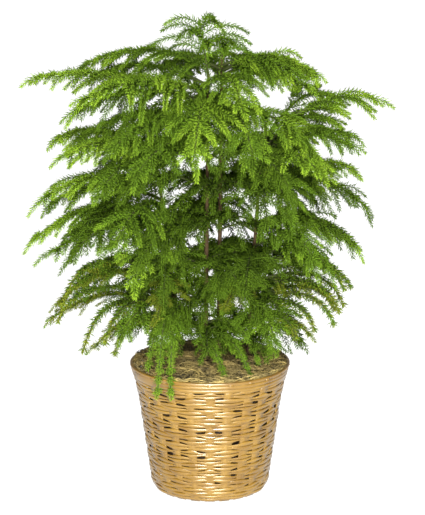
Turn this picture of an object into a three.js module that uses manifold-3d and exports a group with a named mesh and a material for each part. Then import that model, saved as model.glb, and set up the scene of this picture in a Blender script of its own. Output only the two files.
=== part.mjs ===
// A potted Norfolk Island pine: young stems in one grow pot, set in a wicker basket and topped with moss.
// Millimetres, +Z up. The origin is the centre of the basket's flat underside, and -Y is the front.
import * as THREE from "three";
import { mergeVertices } from "three/addons/utils/BufferGeometryUtils.js";
import Module from "manifold-3d";

const wasm = await Module();
wasm.setup();

// Driving dimensions of the basket.
const BASKET_HEIGHT = 203;
const BASE_RADIUS = 83;
const HEEL_RADIUS = 95; // where the rounded heel ends and the side begins
const HEEL_HEIGHT = 26;
const WAIST_RADIUS = 109; // where the straight side ends and the lip starts to flare
const WAIST_HEIGHT = 125;
const RIM_RADIUS = 125;
const RIM_HEIGHT = 17;
const RIM_WIDTH = 9;
const RIM_ROUND = 3;
const LIP_FLARE = 1.3; // how late the lip turns outwards
const WALL = 6;
const FLOOR = 5;
const STAKES = 24; // upright strips that the rows pass in front of and behind
const ROWS = 11;
const WEAVE_DEPTH = 1.6; // how far a row stands out over a stake, or in behind it
const ROW_GAP = 0.8;
const SEGMENTS = 24;

// Driving dimensions of what fills the basket.
const POT_TOP = 180;
const POT_RADIUS = 97;
const POT_FOOT = 71;
const POT_WALL = 2.5;
const MOSS_RADIUS = 106;
const MOSS_EDGE = 13; // thickness at the edge
const MOSS_CROWN = 22; // and in the middle
const MOSS_RINGS = 4;
const MOSS_TUFT = 3.5; // height of the lumps in the moss
const MOSS_LUMP = 8; // and their spacing, over a full turn of the wave
const HOLE_RADIUS = 8.2; // in the moss, round a stem

// Driving dimensions of the plant.
const GAP = 0.3; // between pieces that meet
const CLEAR = 0.5; // between a spray and anything that is not its own bough
const STEM_SIDES = 7;
const STEM_STEPS = 7;
const STEM_RADIUS = 4.2;
const STEM_TIP = 1.9;
const ROOT_FLARE = 2.4;
const FLARE_SHARE = 1 / 30; // share of a stem that the flare takes to fade
const LEAN_SHARE = 0.35; // share of its lean that a stem has gained half way up
const BOUGH_SIDES = 4;
const BOUGH_STEPS = 2;
const BOUGH_RADIUS = 2.8;
const SPRIG_SIDES = 3;
const SPRIG_RADIUS = 2.3; // the bough where the foliage starts
const SPRIG_TIP = 1.5;
const BARE_SHARE = 0.26; // share of a bough before the foliage
const CONTROL_SHARE = 0.56; // how far out along its reach a bough arches most
const SPRAY_SPACING = 32; // between pairs of sprays along a bough
const SPRAY_PAIRS_MAX = 5;
const SPRAY_LENGTH = 98;
const SPRAY_SHORT = 0.35; // share of that length on the shortest of boughs
const TIP_SHARE = 0.3; // share of that length on the last pair of a bough
const SPRAY_FULL_BOUGH = 215; // length of a bough whose sprays are full length
const SPRAY_HALF_WIDTH = 12.5;
const SPRAY_THICKNESS = 2.2;
const SPRAY_ROLL = THREE.MathUtils.degToRad(38);
const TOOTH = [0.46, 1]; // share along a spray and across it of its first tooth
const NOTCH = [0.42, 0.36];
const OUTER_TOOTH = [0.82, 0.72];
const ROOT_SHARE = 0.25; // half height of a spray's root, as a share of its thickness
const SPRAY_BEND = 0.5; // where a spray starts to hang, as a share of its length
const SPRAY_RISE = 0.05;
const SPRAY_SPAN = 0.92; // how far out its tip is
// How far its tip hangs, by tier.
const SPRAY_DROOP = { crown: 0.34, upper: 0.4, shoulder: 0.4, middle: 0.36, low: 0.2 };
const SPRAY_ANGLE_INNER = THREE.MathUtils.degToRad(56);
const SPRAY_ANGLE_OUTER = THREE.MathUtils.degToRad(36);
const SPRAY_VARIATION = 0.16;
const TIP_SPRAY = 0.4; // length of the spray at a bough's tip, as a share of the others
const SEAT = 0.9; // where it sits on the sprig's last stretch
const SPIRAL = THREE.MathUtils.degToRad(137.5); // turn between sprays round a leader
const LEADER_DEPTH = 0.75; // depth of a leader's tuft, as a share of its width
const LEADER_FIRST = 0.35; // share of a leader's height where its sprays start and end
const LEADER_LAST = 0.97;
const LEADER_TAPER = 0.75; // length of its last spray, as a share of its first
const LEADER_RISE = 0.36;
const SEED = 7;

// Each stem stands on the soil and leans from its foot to its tip, both as [x, y], with the tip's height.
const STEMS = {
  tall: { foot: [14, 34], tip: [18, 22], top: 672 },
  middle: { foot: [-7, -18], tip: [-2, 2], top: 648 },
  left: { foot: [-45, 22], tip: [-86, 10], top: 545 },
  right: { foot: [60, 14], tip: [80, 6], top: 562 },
};

// Boughs by tier: [stem, height on the stem, azimuth in degrees from +X, reach, lift of the arch, and the
// height of the tip above the foot of the bough].
const TIERS = {
  crown: [
    ["tall", 655, 172, 208, 52, 6],
    ["tall", 645, 8, 140, 38, 4],
    ["tall", 636, 281, 138, 34, -16],
    ["tall", 640, 105, 205, 50, -14],
  ],
  upper: [
    ["middle", 602, 179, 252, 66, 44],
    ["middle", 622, 214, 214, 46, 4],
    ["middle", 598, 264, 176, 42, -40],
    ["right", 552, 3, 164, 76, 62],
    ["right", 542, 46, 150, 86, 64],
    ["tall", 510, 50, 232, 60, -14],
  ],
  shoulder: [
    ["left", 528, 160, 162, 54, 16],
    ["left", 534, 222, 164, 40, 8],
    ["right", 474, 15, 150, 60, 26],
    ["right", 516, 308, 132, 38, 4],
    ["tall", 540, 135, 232, 58, -18],
  ],
  middle: [
    ["left", 425, 184, 196, 50, -26],
    ["left", 478, 206, 184, 44, -2],
    ["right", 406, 354, 152, 54, -18],
    ["left", 400, 249, 128, 40, -48],
    ["right", 466, 60, 206, 50, -32],
  ],
};

// Lower foliage that springs straight from a stem, in the same columns.
const LOW_FOLIAGE = [
  ["left", 326, 186, 176, 50, -28],
  ["left", 285, 165, 206, 42, -34],
  ["left", 250, 206, 140, 48, -14],
  ["left", 318, 262, 140, 34, -16],
  ["right", 318, 342, 128, 44, -14],
  ["right", 262, 322, 112, 36, -2],
  ["right", 312, 250, 124, 36, 4],
  ["tall", 330, 112, 200, 46, -50],
  ["right", 352, 62, 196, 50, -44],
];

// The tufts on top: a fan on the middle stem, and a leader on the tall one.
const TOPS = {
  middle: { height: 78, lean: [-14, 6], reach: 90, count: 13, droop: -0.02 },
  tall: { height: 26, lean: [2, -2], reach: 48, count: 7, droop: 0.15 },
};

// Colours and surfaces, as seen on the real plant.
const material = (color, roughness) => new THREE.MeshStandardMaterial({ color, roughness, metalness: 0 });
const MATERIALS = {
  wicker: material(0xc79b5d, 0.45),
  border: material(0xc29050, 0.45),
  pot: material(0x2b2a2a, 0.5),
  soil: material(0x35291f, 0.95),
  moss: material(0x7a7040, 0.95),
  bark: material(0x6b4a30, 0.85),
  bough: material(0x5f6f26, 0.8),
  needles: material(0x5c7a20, 0.6),
};

const UP = new THREE.Vector3(0, 0, 1);
const BACK = new THREE.Vector3(0, 1, 0);
const UPRIGHT = 0.95; // past this rise a limb's sides are set out from the back, not from above
const { lerp, degToRad } = THREE.MathUtils;

// A small seeded generator of numbers from 0 to 1.
function seeded(seed) {
  let state = seed;
  return () => {
    state = (state + 0x6d2b79f5) | 0;
    let mixed = Math.imul(state ^ (state >>> 15), 1 | state);
    mixed = (mixed + Math.imul(mixed ^ (mixed >>> 7), 61 | mixed)) ^ mixed;
    return ((mixed ^ (mixed >>> 14)) >>> 0) / 4294967296;
  };
}
const random = seeded(SEED);
const jitter = (share) => 1 + share * (2 * random() - 1);

// A closed geometry as a solid, with the triangles that collapse on an axis left out.
function solidOf(geometry) {
  geometry.deleteAttribute("normal");
  geometry.deleteAttribute("uv");
  const merged = mergeVertices(geometry, 1e-3);
  const corners = [];
  const index = merged.index.array;
  for (let i = 0; i < index.length; i += 3) {
    const [a, b, c] = index.slice(i, i + 3);
    if (a !== b && b !== c && a !== c) corners.push(a, b, c);
  }
  const vertProperties = merged.attributes.position.array;
  const triVerts = new Uint32Array(corners);
  return new wasm.Manifold(new wasm.Mesh({ numProp: 3, vertProperties, triVerts }));
}

// A solid as a named mesh.
function meshOf(name, solid, surface) {
  const { vertProperties, triVerts } = solid.getMesh();
  const geometry = new THREE.BufferGeometry();
  geometry.setAttribute("position", new THREE.BufferAttribute(new Float32Array(vertProperties), 3));
  geometry.setIndex(new THREE.BufferAttribute(new Uint32Array(triVerts), 1));
  geometry.computeVertexNormals();
  const mesh = new THREE.Mesh(geometry, surface);
  mesh.name = name;
  return mesh;
}

// A profile of [radius, height] pairs turned about the Z axis.
function turned(profile, segments = SEGMENTS) {
  const points = profile.map(([radius, height]) => new THREE.Vector2(radius, height));
  return new THREE.LatheGeometry(points, segments).rotateX(Math.PI / 2);
}

// The basket's outer radius at a height: a rounded heel, a straight side and a flared lip.
function basketRadius(z) {
  if (z < HEEL_HEIGHT) {
    const share = 1 - z / HEEL_HEIGHT;
    return lerp(BASE_RADIUS, HEEL_RADIUS, Math.sqrt(1 - share * share));
  }
  if (z < WAIST_HEIGHT) {
    const share = (z - HEEL_HEIGHT) / (WAIST_HEIGHT - HEEL_HEIGHT);
    return lerp(HEEL_RADIUS, WAIST_RADIUS, share);
  }
  const share = (z - WAIST_HEIGHT) / (BASKET_HEIGHT - WAIST_HEIGHT);
  return lerp(WAIST_RADIUS, RIM_RADIUS, share ** LIP_FLARE);
}

// The woven side and floor. Each row stands out over every other stake and in behind the next, turn about.
function basketWall() {
  const top = BASKET_HEIGHT - RIM_HEIGHT - GAP;
  const rowHeight = top / ROWS;
  const profile = [[0, 0], [BASE_RADIUS - WALL, 0]];
  const firstWoven = profile.length;
  for (let row = 0; row < ROWS; row++) {
    for (const z of [row * rowHeight + ROW_GAP / 2, (row + 1) * rowHeight - ROW_GAP / 2]) {
      profile.push([basketRadius(z), z]);
    }
  }
  const lastWoven = profile.length;
  for (const z of [top, WAIST_HEIGHT, HEEL_HEIGHT, FLOOR]) {
    profile.push([basketRadius(z) - WALL, z]);
  }
  profile.push([0, FLOOR]);
  const geometry = turned(profile, STAKES);
  const position = geometry.attributes.position;
  for (let i = 0; i < position.count; i++) {
    const ring = i % profile.length;
    if (ring < firstWoven || ring >= lastWoven) continue;
    const row = Math.floor((ring - firstWoven) / 2);
    const stake = Math.floor(i / profile.length) % STAKES;
    const radius = Math.hypot(position.getX(i), position.getY(i));
    const woven = 1 + ((row + stake) % 2 ? WEAVE_DEPTH : -WEAVE_DEPTH) / radius;
    position.setXY(i, position.getX(i) * woven, position.getY(i) * woven);
  }
  return solidOf(geometry);
}

// The border: a rounded band on top of the woven side.
function basketRim() {
  const low = BASKET_HEIGHT - RIM_HEIGHT;
  const inner = RIM_RADIUS - RIM_WIDTH;
  return solidOf(turned([
    [inner, low],
    [RIM_RADIUS - RIM_ROUND, low],
    [RIM_RADIUS - RIM_ROUND / 3, low + RIM_ROUND],
    [RIM_RADIUS, BASKET_HEIGHT - RIM_ROUND],
    [RIM_RADIUS - RIM_ROUND, BASKET_HEIGHT],
    [inner + RIM_ROUND, BASKET_HEIGHT],
    [inner, BASKET_HEIGHT - RIM_ROUND],
    [inner, low],
  ], STAKES));
}

// The plastic pot inside the basket, standing on its floor.
function growPot() {
  const foot = FLOOR + GAP;
  return solidOf(turned([
    [0, foot],
    [POT_FOOT, foot],
    [POT_RADIUS, POT_TOP],
    [POT_RADIUS - POT_WALL, POT_TOP],
    [POT_FOOT - POT_WALL, foot + POT_WALL],
    [0, foot + POT_WALL],
  ]));
}

// The soil that fills the pot.
function soilPlug() {
  const foot = FLOOR + POT_WALL + 2 * GAP;
  const slack = POT_WALL + 2 * GAP;
  return solidOf(turned([
    [0, foot],
    [POT_FOOT - slack, foot],
    [POT_RADIUS - slack, POT_TOP],
    [0, POT_TOP],
  ]));
}

// The moss: a lumpy mound over the pot's mouth, cut clear of the stems.
function mossMound(stems) {
  const low = POT_TOP + GAP;
  const profile = [[0, low], [MOSS_RADIUS, low]];
  for (let ring = 0; ring < MOSS_RINGS; ring++) {
    const share = ring / (MOSS_RINGS - 1);
    const thickness = lerp(MOSS_EDGE, MOSS_CROWN, Math.sin(share * Math.PI / 2));
    profile.push([MOSS_RADIUS * (1 - share), low + thickness]);
  }
  const geometry = turned(profile);
  const position = geometry.attributes.position;
  for (let i = 0; i < position.count; i++) {
    const ring = i % profile.length;
    const [x, y, z] = [position.getX(i), position.getY(i), position.getZ(i)];
    if (ring > 1 && ring < profile.length - 1) {
      position.setZ(i, z + MOSS_TUFT * Math.sin(x / MOSS_LUMP) * Math.cos(y / MOSS_LUMP));
    }
  }
  let mound = solidOf(geometry);
  for (const stem of stems) mound = mound.subtract(stem.sleeve);
  return mound;
}

// A tapering limb: a cylinder bent along part of a curve, with radius(t) for t from 0 to 1 along that part.
function limb(curve, from, to, radius, sides, steps) {
  const geometry = new THREE.CylinderGeometry(1, 1, 1, sides, steps);
  const position = geometry.attributes.position;
  for (let i = 0; i < position.count; i++) {
    const share = position.getY(i) + 0.5;
    const t = lerp(from, to, share);
    const along = curve.getTangent(t);
    const reference = Math.abs(along.z) > UPRIGHT ? BACK : UP;
    const side = new THREE.Vector3().crossVectors(reference, along).normalize();
    const over = new THREE.Vector3().crossVectors(along, side);
    const point = curve.getPoint(t);
    point.addScaledVector(side, -position.getX(i) * radius(share));
    point.addScaledVector(over, position.getZ(i) * radius(share));
    position.setXYZ(i, point.x, point.y, point.z);
  }
  return solidOf(geometry);
}

// A stem from its flat cut on the soil to its tip, with a flare at the root.
function makeStem(name, { foot, tip, top }) {
  const ground = POT_TOP + GAP;
  const start = new THREE.Vector3(...foot, ground);
  const end = new THREE.Vector3(...tip, top);
  const middle = start.clone().lerp(end, LEAN_SHARE).setZ((ground + top) / 2);
  const curve = new THREE.QuadraticBezierCurve3(start, middle, end);
  const radius = (t) => lerp(STEM_RADIUS, STEM_TIP, t) + ROOT_FLARE * Math.exp(-t / FLARE_SHARE);
  const solid = limb(curve, 0, 1, radius, STEM_SIDES, STEM_STEPS).trimByPlane([0, 0, 1], ground);
  const hole = new THREE.CylinderGeometry(HOLE_RADIUS, HOLE_RADIUS, 4 * MOSS_CROWN, STEM_SIDES);
  const sleeve = solidOf(hole.rotateX(Math.PI / 2).translate(...foot, ground));
  const at = (height) => (height - ground) / (top - ground);
  return { name, curve, radius, at, solid, sleeve };
}

// The curve of a bough, from just clear of its stem, up over its arch, and down to its tip.
function boughCurve(stem, [, height, azimuth, reach, lift, fall]) {
  const t = stem.at(height);
  const axis = stem.curve.getPoint(t);
  const out = new THREE.Vector3(1, 0, 0).applyAxisAngle(UP, degToRad(azimuth));
  const slope = Math.sin(Math.atan2(lift, reach * CONTROL_SHARE));
  const start = stem.radius(t) + GAP + BOUGH_RADIUS * slope;
  return new THREE.QuadraticBezierCurve3(
    axis.clone().addScaledVector(out, start),
    axis.clone().addScaledVector(out, reach * CONTROL_SHARE).addScaledVector(UP, lift),
    axis.clone().addScaledVector(out, reach).addScaledVector(UP, fall),
  );
}

// A spray of needles as a toothed blade along a curve: a spine with a top and a bottom ridge, and two swept
// teeth on each side before the point. It is rolled about its spine, so that it shows from the side as well
// as from above. Its root is a short edge, which sinks into the sprig.
function toothedBlade(curve, halfWidth, thickness) {
  const level = new THREE.Vector3().crossVectors(UP, curve.getTangent(0)).normalize();
  const corner = (t, width, height) => {
    const along = curve.getTangent(t);
    const across = level.clone().applyAxisAngle(along, SPRAY_ROLL);
    const over = new THREE.Vector3().crossVectors(along, across);
    const point = curve.getPoint(t).addScaledVector(across, width * halfWidth);
    return point.addScaledVector(over, height * thickness);
  };
  const ridges = [1, -1].map((face) => [corner(0, 0, face * ROOT_SHARE), corner(0.5, 0, face * 0.5)]);
  const outline = [TOOTH, NOTCH, OUTER_TOOTH];
  const edges = [1, -1].map((side) => outline.map(([t, width]) => corner(t, side * width, 0)));
  const points = [corner(1, 0, 0), ...ridges.flat(), ...edges.flat()];
  const tip = 0;
  const faces = [];
  edges.forEach((teeth, side) => {
    const [first, notch, second] = teeth.map((tooth) => points.indexOf(tooth));
    const roots = ridges.map(([root]) => points.indexOf(root));
    ridges.forEach(([root, middle], face) => {
      const [r, m] = [points.indexOf(root), points.indexOf(middle)];
      const sheet = [[r, first, notch], [r, notch, m], [m, notch, second], [m, second, tip]];
      faces.push(...sheet.map(([a, b, c]) => (side === face ? [a, c, b] : [a, b, c])));
    });
    faces.push(side === 0 ? [roots[0], first, roots[1]] : [roots[1], first, roots[0]]);
  });
  const geometry = new THREE.BufferGeometry().setFromPoints(points);
  geometry.setIndex(faces.flat());
  return solidOf(geometry);
}

// Solids that a spray has to keep clear of, each with the foliage that it belongs to.
const taken = [];

function boxOf(solid) {
  const { min, max } = solid.boundingBox();
  return new THREE.Box3(new THREE.Vector3(...min), new THREE.Vector3(...max));
}

function take(owner, solid) {
  taken.push({ owner, solid, box: boxOf(solid) });
}

function isClear(owner, solid) {
  const box = boxOf(solid);
  return taken.every((other) => other.owner === owner || !other.box.intersectsBox(box) ||
    other.solid.intersect(solid).isEmpty());
}

// A spray's share of the full length, by its place from the first pair to the last: longest a quarter of
// the way out, and shortest at the tip.
function sprayShare(place) {
  return lerp(TIP_SHARE, 1, Math.sin(Math.PI * Math.min(1, 0.25 + place)));
}

// The curves of one bough's sprays: opposite pairs at every joint of its sprig, and one more at the tip.
function sprayCurves(curve, from, pairs, droop) {
  const grown = Math.min(1, curve.getLength() / SPRAY_FULL_BOUGH);
  const length = SPRAY_LENGTH * lerp(SPRAY_SHORT, 1, grown);
  const sprayCurve = (root, along, side, angle, share) => {
    const across = new THREE.Vector3().crossVectors(UP, along).normalize().multiplyScalar(side);
    const heading = along.clone().multiplyScalar(Math.cos(angle)).addScaledVector(across, Math.sin(angle));
    const reach = length * share * jitter(SPRAY_VARIATION);
    return new THREE.QuadraticBezierCurve3(
      root,
      root.clone().addScaledVector(heading, reach * SPRAY_BEND).addScaledVector(UP, reach * SPRAY_RISE),
      root.clone().addScaledVector(heading, reach * SPRAY_SPAN).addScaledVector(UP, -reach * droop),
    );
  };
  const sprays = [];
  for (let pair = 1; pair <= pairs; pair++) {
    const t = lerp(from, 1, pair / (pairs + 1));
    const share = (pair - 1) / (pairs - 1);
    const full = sprayShare(share);
    const angle = lerp(SPRAY_ANGLE_INNER, SPRAY_ANGLE_OUTER, share);
    for (const side of [1, -1]) {
      sprays.push(sprayCurve(curve.getPoint(t), curve.getTangent(t), side, angle, full));
    }
  }
  const joint = curve.getPoint(lerp(from, 1, pairs / (pairs + 1)));
  const end = curve.getPoint(1);
  const along = end.clone().sub(joint).normalize();
  sprays.push(sprayCurve(joint.clone().lerp(end, SEAT), along, 1, 0, TIP_SPRAY));
  return sprays;
}

// A sprig with every spray that finds room fused on.
function withSprays(name, sprig, sprays) {
  const kept = [sprig];
  for (const spray of sprays) {
    const blade = (extra) => toothedBlade(spray, SPRAY_HALF_WIDTH + extra, SPRAY_THICKNESS + 2 * extra);
    if (!isClear(name, blade(CLEAR))) continue;
    const solid = blade(0);
    kept.push(solid);
    take(name, solid);
  }
  return wasm.Manifold.union(kept);
}

// One mass of foliage: a sprig that carries on the bough's curve, with its sprays.
function foliage({ name, tier, curve, from, pairs, sprig }) {
  return withSprays(name, sprig, sprayCurves(curve, from, pairs, SPRAY_DROOP[tier]));
}

// A leader's sprig, on the stem's tip.
function makeLeader(name, stem, size) {
  const foot = stem.curve.getPoint(1).addScaledVector(UP, GAP);
  const curve = new THREE.LineCurve3(foot, foot.clone().add(new THREE.Vector3(...size.lean, size.height)));
  const sprig = limb(curve, 0, 1, (t) => lerp(STEM_TIP, SPRIG_TIP, t), SPRIG_SIDES, 1);
  take(name, sprig);
  return { name, curve, sprig, ...size };
}

// A leader's tuft: short sprays in a whorl round its sprig.
function tuft({ name, curve, sprig, reach, count, droop }) {
  const sprays = [];
  for (let i = 0; i < count; i++) {
    const share = i / (count - 1);
    const root = curve.getPoint(lerp(LEADER_FIRST, LEADER_LAST, share));
    const out = new THREE.Vector3(Math.cos(i * SPIRAL), Math.sin(i * SPIRAL) * LEADER_DEPTH, 0);
    const length = reach * lerp(1, LEADER_TAPER, share) * jitter(SPRAY_VARIATION);
    sprays.push(new THREE.QuadraticBezierCurve3(
      root,
      root.clone().addScaledVector(out, length * SPRAY_BEND).addScaledVector(UP, length * LEADER_RISE),
      root.clone().addScaledVector(out, length).addScaledVector(UP, -length * droop),
    ));
  }
  return withSprays(name, sprig, sprays);
}

const tree = new THREE.Group();

// The basket and what fills it.
const stems = Object.entries(STEMS).map(([name, size]) => makeStem(name, size));
const standing = [
  ["basket_wall", basketWall(), MATERIALS.wicker],
  ["basket_rim", basketRim(), MATERIALS.border],
  ["grow_pot", growPot(), MATERIALS.pot],
  ["soil", soilPlug(), MATERIALS.soil],
  ["moss", mossMound(stems), MATERIALS.moss],
  ...stems.map((stem) => [`stem_${stem.name}`, stem.solid, MATERIALS.bark]),
];
for (const [name, solid, surface] of standing) {
  tree.add(meshOf(name, solid, surface));
  take(name, solid);
}

// Boughs and sprigs come first, so that every spray can keep clear of all of them.
const stemNamed = Object.fromEntries(stems.map((stem) => [stem.name, stem]));
const masses = [];
for (const [tier, rows] of Object.entries(TIERS)) {
  rows.forEach((row, i) => {
    const curve = boughCurve(stemNamed[row[0]], row);
    const bareRadius = (t) => lerp(BOUGH_RADIUS, SPRIG_RADIUS, t);
    const bough = limb(curve, 0, BARE_SHARE, bareRadius, BOUGH_SIDES, BOUGH_STEPS);
    const name = `bough_${tier}_${i + 1}`;
    tree.add(meshOf(name, bough, MATERIALS.bough));
    take(name, bough);
    const from = BARE_SHARE + GAP / curve.getLength();
    masses.push({ name: `foliage_${tier}_${i + 1}`, tier, curve, from });
  });
}
LOW_FOLIAGE.forEach((row, i) => {
  const curve = boughCurve(stemNamed[row[0]], row);
  masses.push({ name: `foliage_low_${i + 1}`, tier: "low", curve, from: 0 });
});
for (const mass of masses) {
  const radius = (t) => lerp(SPRIG_RADIUS, SPRIG_TIP, t);
  const length = mass.curve.getLength() * (1 - mass.from);
  mass.pairs = Math.min(SPRAY_PAIRS_MAX, Math.round(length / SPRAY_SPACING));
  mass.sprig = limb(mass.curve, mass.from, 1, radius, SPRIG_SIDES, mass.pairs + 1);
  take(mass.name, mass.sprig);
}
const leaders = Object.entries(TOPS).map(([stem, size]) => {
  return makeLeader(`foliage_top_${stem}`, stemNamed[stem], size);
});
for (const mass of masses) {
  tree.add(meshOf(mass.name, foliage(mass), MATERIALS.needles));
}
for (const leader of leaders) {
  tree.add(meshOf(leader.name, tuft(leader), MATERIALS.needles));
}

export default tree;
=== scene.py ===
"""A potted Norfolk Island pine: a clump of young stems in a wicker basket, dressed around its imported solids.

Lengths are metres, +Z is up and -Y is the front. The tables that the part's source also holds are in
millimetres, as they are there.
"""

import math
from functools import partial
from typing import NamedTuple

import bmesh
import bpy
import numpy as np
from mathutils import Matrix, Vector, noise


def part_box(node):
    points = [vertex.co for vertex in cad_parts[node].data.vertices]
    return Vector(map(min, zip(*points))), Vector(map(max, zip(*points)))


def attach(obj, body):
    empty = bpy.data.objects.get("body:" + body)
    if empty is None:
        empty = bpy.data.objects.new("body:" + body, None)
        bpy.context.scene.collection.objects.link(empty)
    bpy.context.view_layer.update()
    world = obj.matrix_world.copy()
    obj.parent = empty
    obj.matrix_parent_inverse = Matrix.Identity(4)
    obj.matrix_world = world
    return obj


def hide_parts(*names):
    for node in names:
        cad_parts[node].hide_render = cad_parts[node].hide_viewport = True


bl_info = {
    "name": "Potted Norfolk Island pine",
    "version": (1, 0, 0),
    "blender": (4, 5, 0),
    "location": "3D View > Sidebar > Pine",
    "description": "Dresses the packed pine with its basket, moss, bark, twigs and needles",
    "category": "Object",
}

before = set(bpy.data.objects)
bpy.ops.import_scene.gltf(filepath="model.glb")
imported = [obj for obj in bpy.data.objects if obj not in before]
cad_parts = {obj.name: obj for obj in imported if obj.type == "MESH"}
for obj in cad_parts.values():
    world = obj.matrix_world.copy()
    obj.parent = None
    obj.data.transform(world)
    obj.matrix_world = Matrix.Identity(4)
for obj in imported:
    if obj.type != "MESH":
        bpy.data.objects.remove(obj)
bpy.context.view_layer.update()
BODY = "root"
MM = 0.001
SEED = 7
TURN = 2 * math.pi
UP = np.array((0.0, 0.0, 1.0))
BACK = np.array((0.0, 1.0, 0.0))
UPRIGHT = 0.9  # past this rise a limb's sides are set out from the back, not from above
SHORTEST = 1e-12  # the least length that a vector is divided by
WELD = 0.001 * MM
CURVE_SAMPLES = 17  # points that a curve is measured by

# The basket, from the frame where it shows there, and from the part's source.
BASKET_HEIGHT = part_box("basket_rim")[1].z
RIM_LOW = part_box("basket_rim")[0].z
RIM_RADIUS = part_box("basket_rim")[1].x
BASE_RADIUS = 83 * MM
HEEL_RADIUS = 95 * MM
HEEL_HEIGHT = 26 * MM
WAIST_RADIUS = 109 * MM
WAIST_HEIGHT = 125 * MM
LIP_FLARE = 1.3

# Its woven rows.
FIRST_ROW = 4.5 * MM
ROW_JITTER = 0.12  # how far a row may lie off its even height, as a share of the rows' spacing
ROW_BELLY = 0.2  # how much a row swells over a stake and narrows behind one
EVEN_ROWS = 4  # rows at the foot that swell less
STRAND_SIDES = 8
STRAND_FLATNESS = 0.8  # from 1 for a strand of oval section to 0 for a square one
STRAND_HEIGHTS = (0.82, 1.08)  # as shares of the height that is set
STEPS_PER_STAKE = 6
WEAVE_SHARPNESS = 0.7  # how flat a row lies over a stake before it dives behind the next
SLIT_DEPTH = 0.55  # how much narrower a row may be between two stakes, where a slit opens
SLIT_RARITY = 2.4  # the higher, the fewer wide slits
SLIT_WIDTH = 0.3  # half width of a slit, as a share of the stakes' spacing
SLIT_SQUARENESS = 4
WAVES = 4  # that add up to how a strand wanders
WAVE_TURNS = (2, 13)
WAVE_SIZES = (0.3, 1.0)
WAVE_GAIN = 1.6

# Its stakes, which run in along the underside, round the heel and up the side to the border.
STAKE_DEPTH = 2.0 * MM  # from the basket's outer surface in to the middle of its stakes
STAKE_THICKNESS = 1.4 * MM
STAKE_WIDTHS = (0.88, 1.08)  # as shares of the width that is set
STAKE_ROOM = 0.9  # the most that a stake takes of its share of the round
STAKE_LEAN = 0.012
STAKE_BOW = 0.2 * MM
STAKE_TOP = RIM_LOW + 4 * MM
STAKE_STEPS = (2, 34)
SPOKE_INNER = 24 * MM
SPOKE_Z = 2.2 * MM
SPOKE_SHARE = 0.26
BASE_RINGS = 6
BASE_RING_RADII = (33 * MM, BASE_RADIUS - 6 * MM)
BASE_RING_Z = SPOKE_Z + 0.5 * MM
BASE_RING_SECTION = (7.5 * MM, 1.5 * MM)
BASE_RING_DIP = 1.1 * MM
BASE_STEPS_PER_STAKE = 4
BUTTON = ((0, 0.2), (24, 0.2), (27, 1.4), (24, 4.4), (0, 4.8))
BUTTON_STEPS = 32

# Its border: reeds stacked outside and inside the stakes' ends, and one between them on top.
BORDER_REEDS = 3
BORDER_SHADE = 0.95  # how much darker its reed is than the rows'
BORDER_THICKNESS = 3.4 * MM
BORDER_OVERLAP = 1.12  # height of a reed, as a share of the reeds' spacing
BORDER_OUTER = 1.6 * MM  # from the rim's outer surface in to the middle of the outer reeds
BORDER_INNER = 7.6 * MM  # and of the inner ones
BORDER_MIDDLE = RIM_RADIUS - (BORDER_OUTER + BORDER_INNER) / 2
BORDER_STEPS = 144
BORDER_SWING = 0.35 * MM
BORDER_WANDER = 0.5 * MM
TOP_REED_SECTION = (5.5 * MM, 4.6 * MM)
TOP_REED_Z = BASKET_HEIGHT - 2.4 * MM
TOP_REED_SWING = 0.4 * MM
SPLICE_FROM = math.radians(203)
SPLICE_TURN = math.radians(34)
SPLICE_Z = (RIM_LOW + 1.5 * MM, BASKET_HEIGHT - 2.2 * MM)
SPLICE_PROUD = (1.0 * MM, -0.6 * MM)  # of the other reeds, at its start and at its end
SPLICE_ROUNDING = 1.2 * MM
SPLICE_SQUARENESS = 4
SPLICE_THICKNESS = 1.2 * MM
SPLICE_STEPS = (14, 6)
FOLD_WIDTH = 8 * MM
FOLD_REACH = 4.2 * MM
FOLD_HEIGHT = 4.6 * MM
FOLD_Z = BASKET_HEIGHT - 3.2 * MM
FOLD_RISE = (-3.4 * MM, -0.8 * MM)
FOLD_THICKNESS = 1.1 * MM
FOLD_STEPS = (2, 8)

# What fills the basket. The pot's outline is in millimetres, from the edge of its foot and of its mouth.
POT_LOW, POT_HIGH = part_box("grow_pot")
POT_FOOT = 71
POT_WALL = 2.5
POT_HEEL = ((-2, 0), (0, 2))
POT_LIP = ((-4.5, -16), (-1.5, -15), (0, -13), (0, -1.2), (-1.2, 0), (-2.5, 0), (-5.5, -12))
POT_STEPS = 72
MOSS_LOW, MOSS_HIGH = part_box("moss")
MOSS_RADIUS = MOSS_HIGH.x
MOSS_EDGE = 21 * MM
MOSS_CROWN = 25 * MM
MOSS_SHOULDER = 5  # how near the edge the mound stays level
MOSS_LUMP = 3.2 * MM
MOSS_LUMPS = 38  # in a metre
MOSS_TUFT = 2.2 * MM
MOSS_TUFTS = 160
MOUND_INSET = 3 * MM  # of its flat underside
MOUND_DEPTH = 2.5 * MM  # under the fibres
MOUND_PAINTED_SHADE = 0.12  # painted shade: how dark the mound is painted where it shows between them
MOUND_STEPS = 72
MOUND_RINGS = 26
FIBRE_POINTS = 11
FIBRE_SIDES = 3
FIBRE_RADIUS = RIM_RADIUS - 5 * MM  # how far out they lie
FIBRE_FILL = 0.98  # share of that round that they start in
FIBRE_LENGTHS = (0.6, 1.3)  # as shares of the length that is set
FIBRE_RADII = (0.7, 1.25)
FIBRE_CURL = 0.5
FIBRE_STRAY = 0.25
FIBRE_LOFT = (-1.5 * MM, 6 * MM)
FIBRE_WAVE = 1.8 * MM
FIBRE_WAVE_TURN = 1.1
SPILL_RADIUS = RIM_RADIUS - BORDER_INNER - BORDER_THICKNESS  # past this they lie on the border

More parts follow.
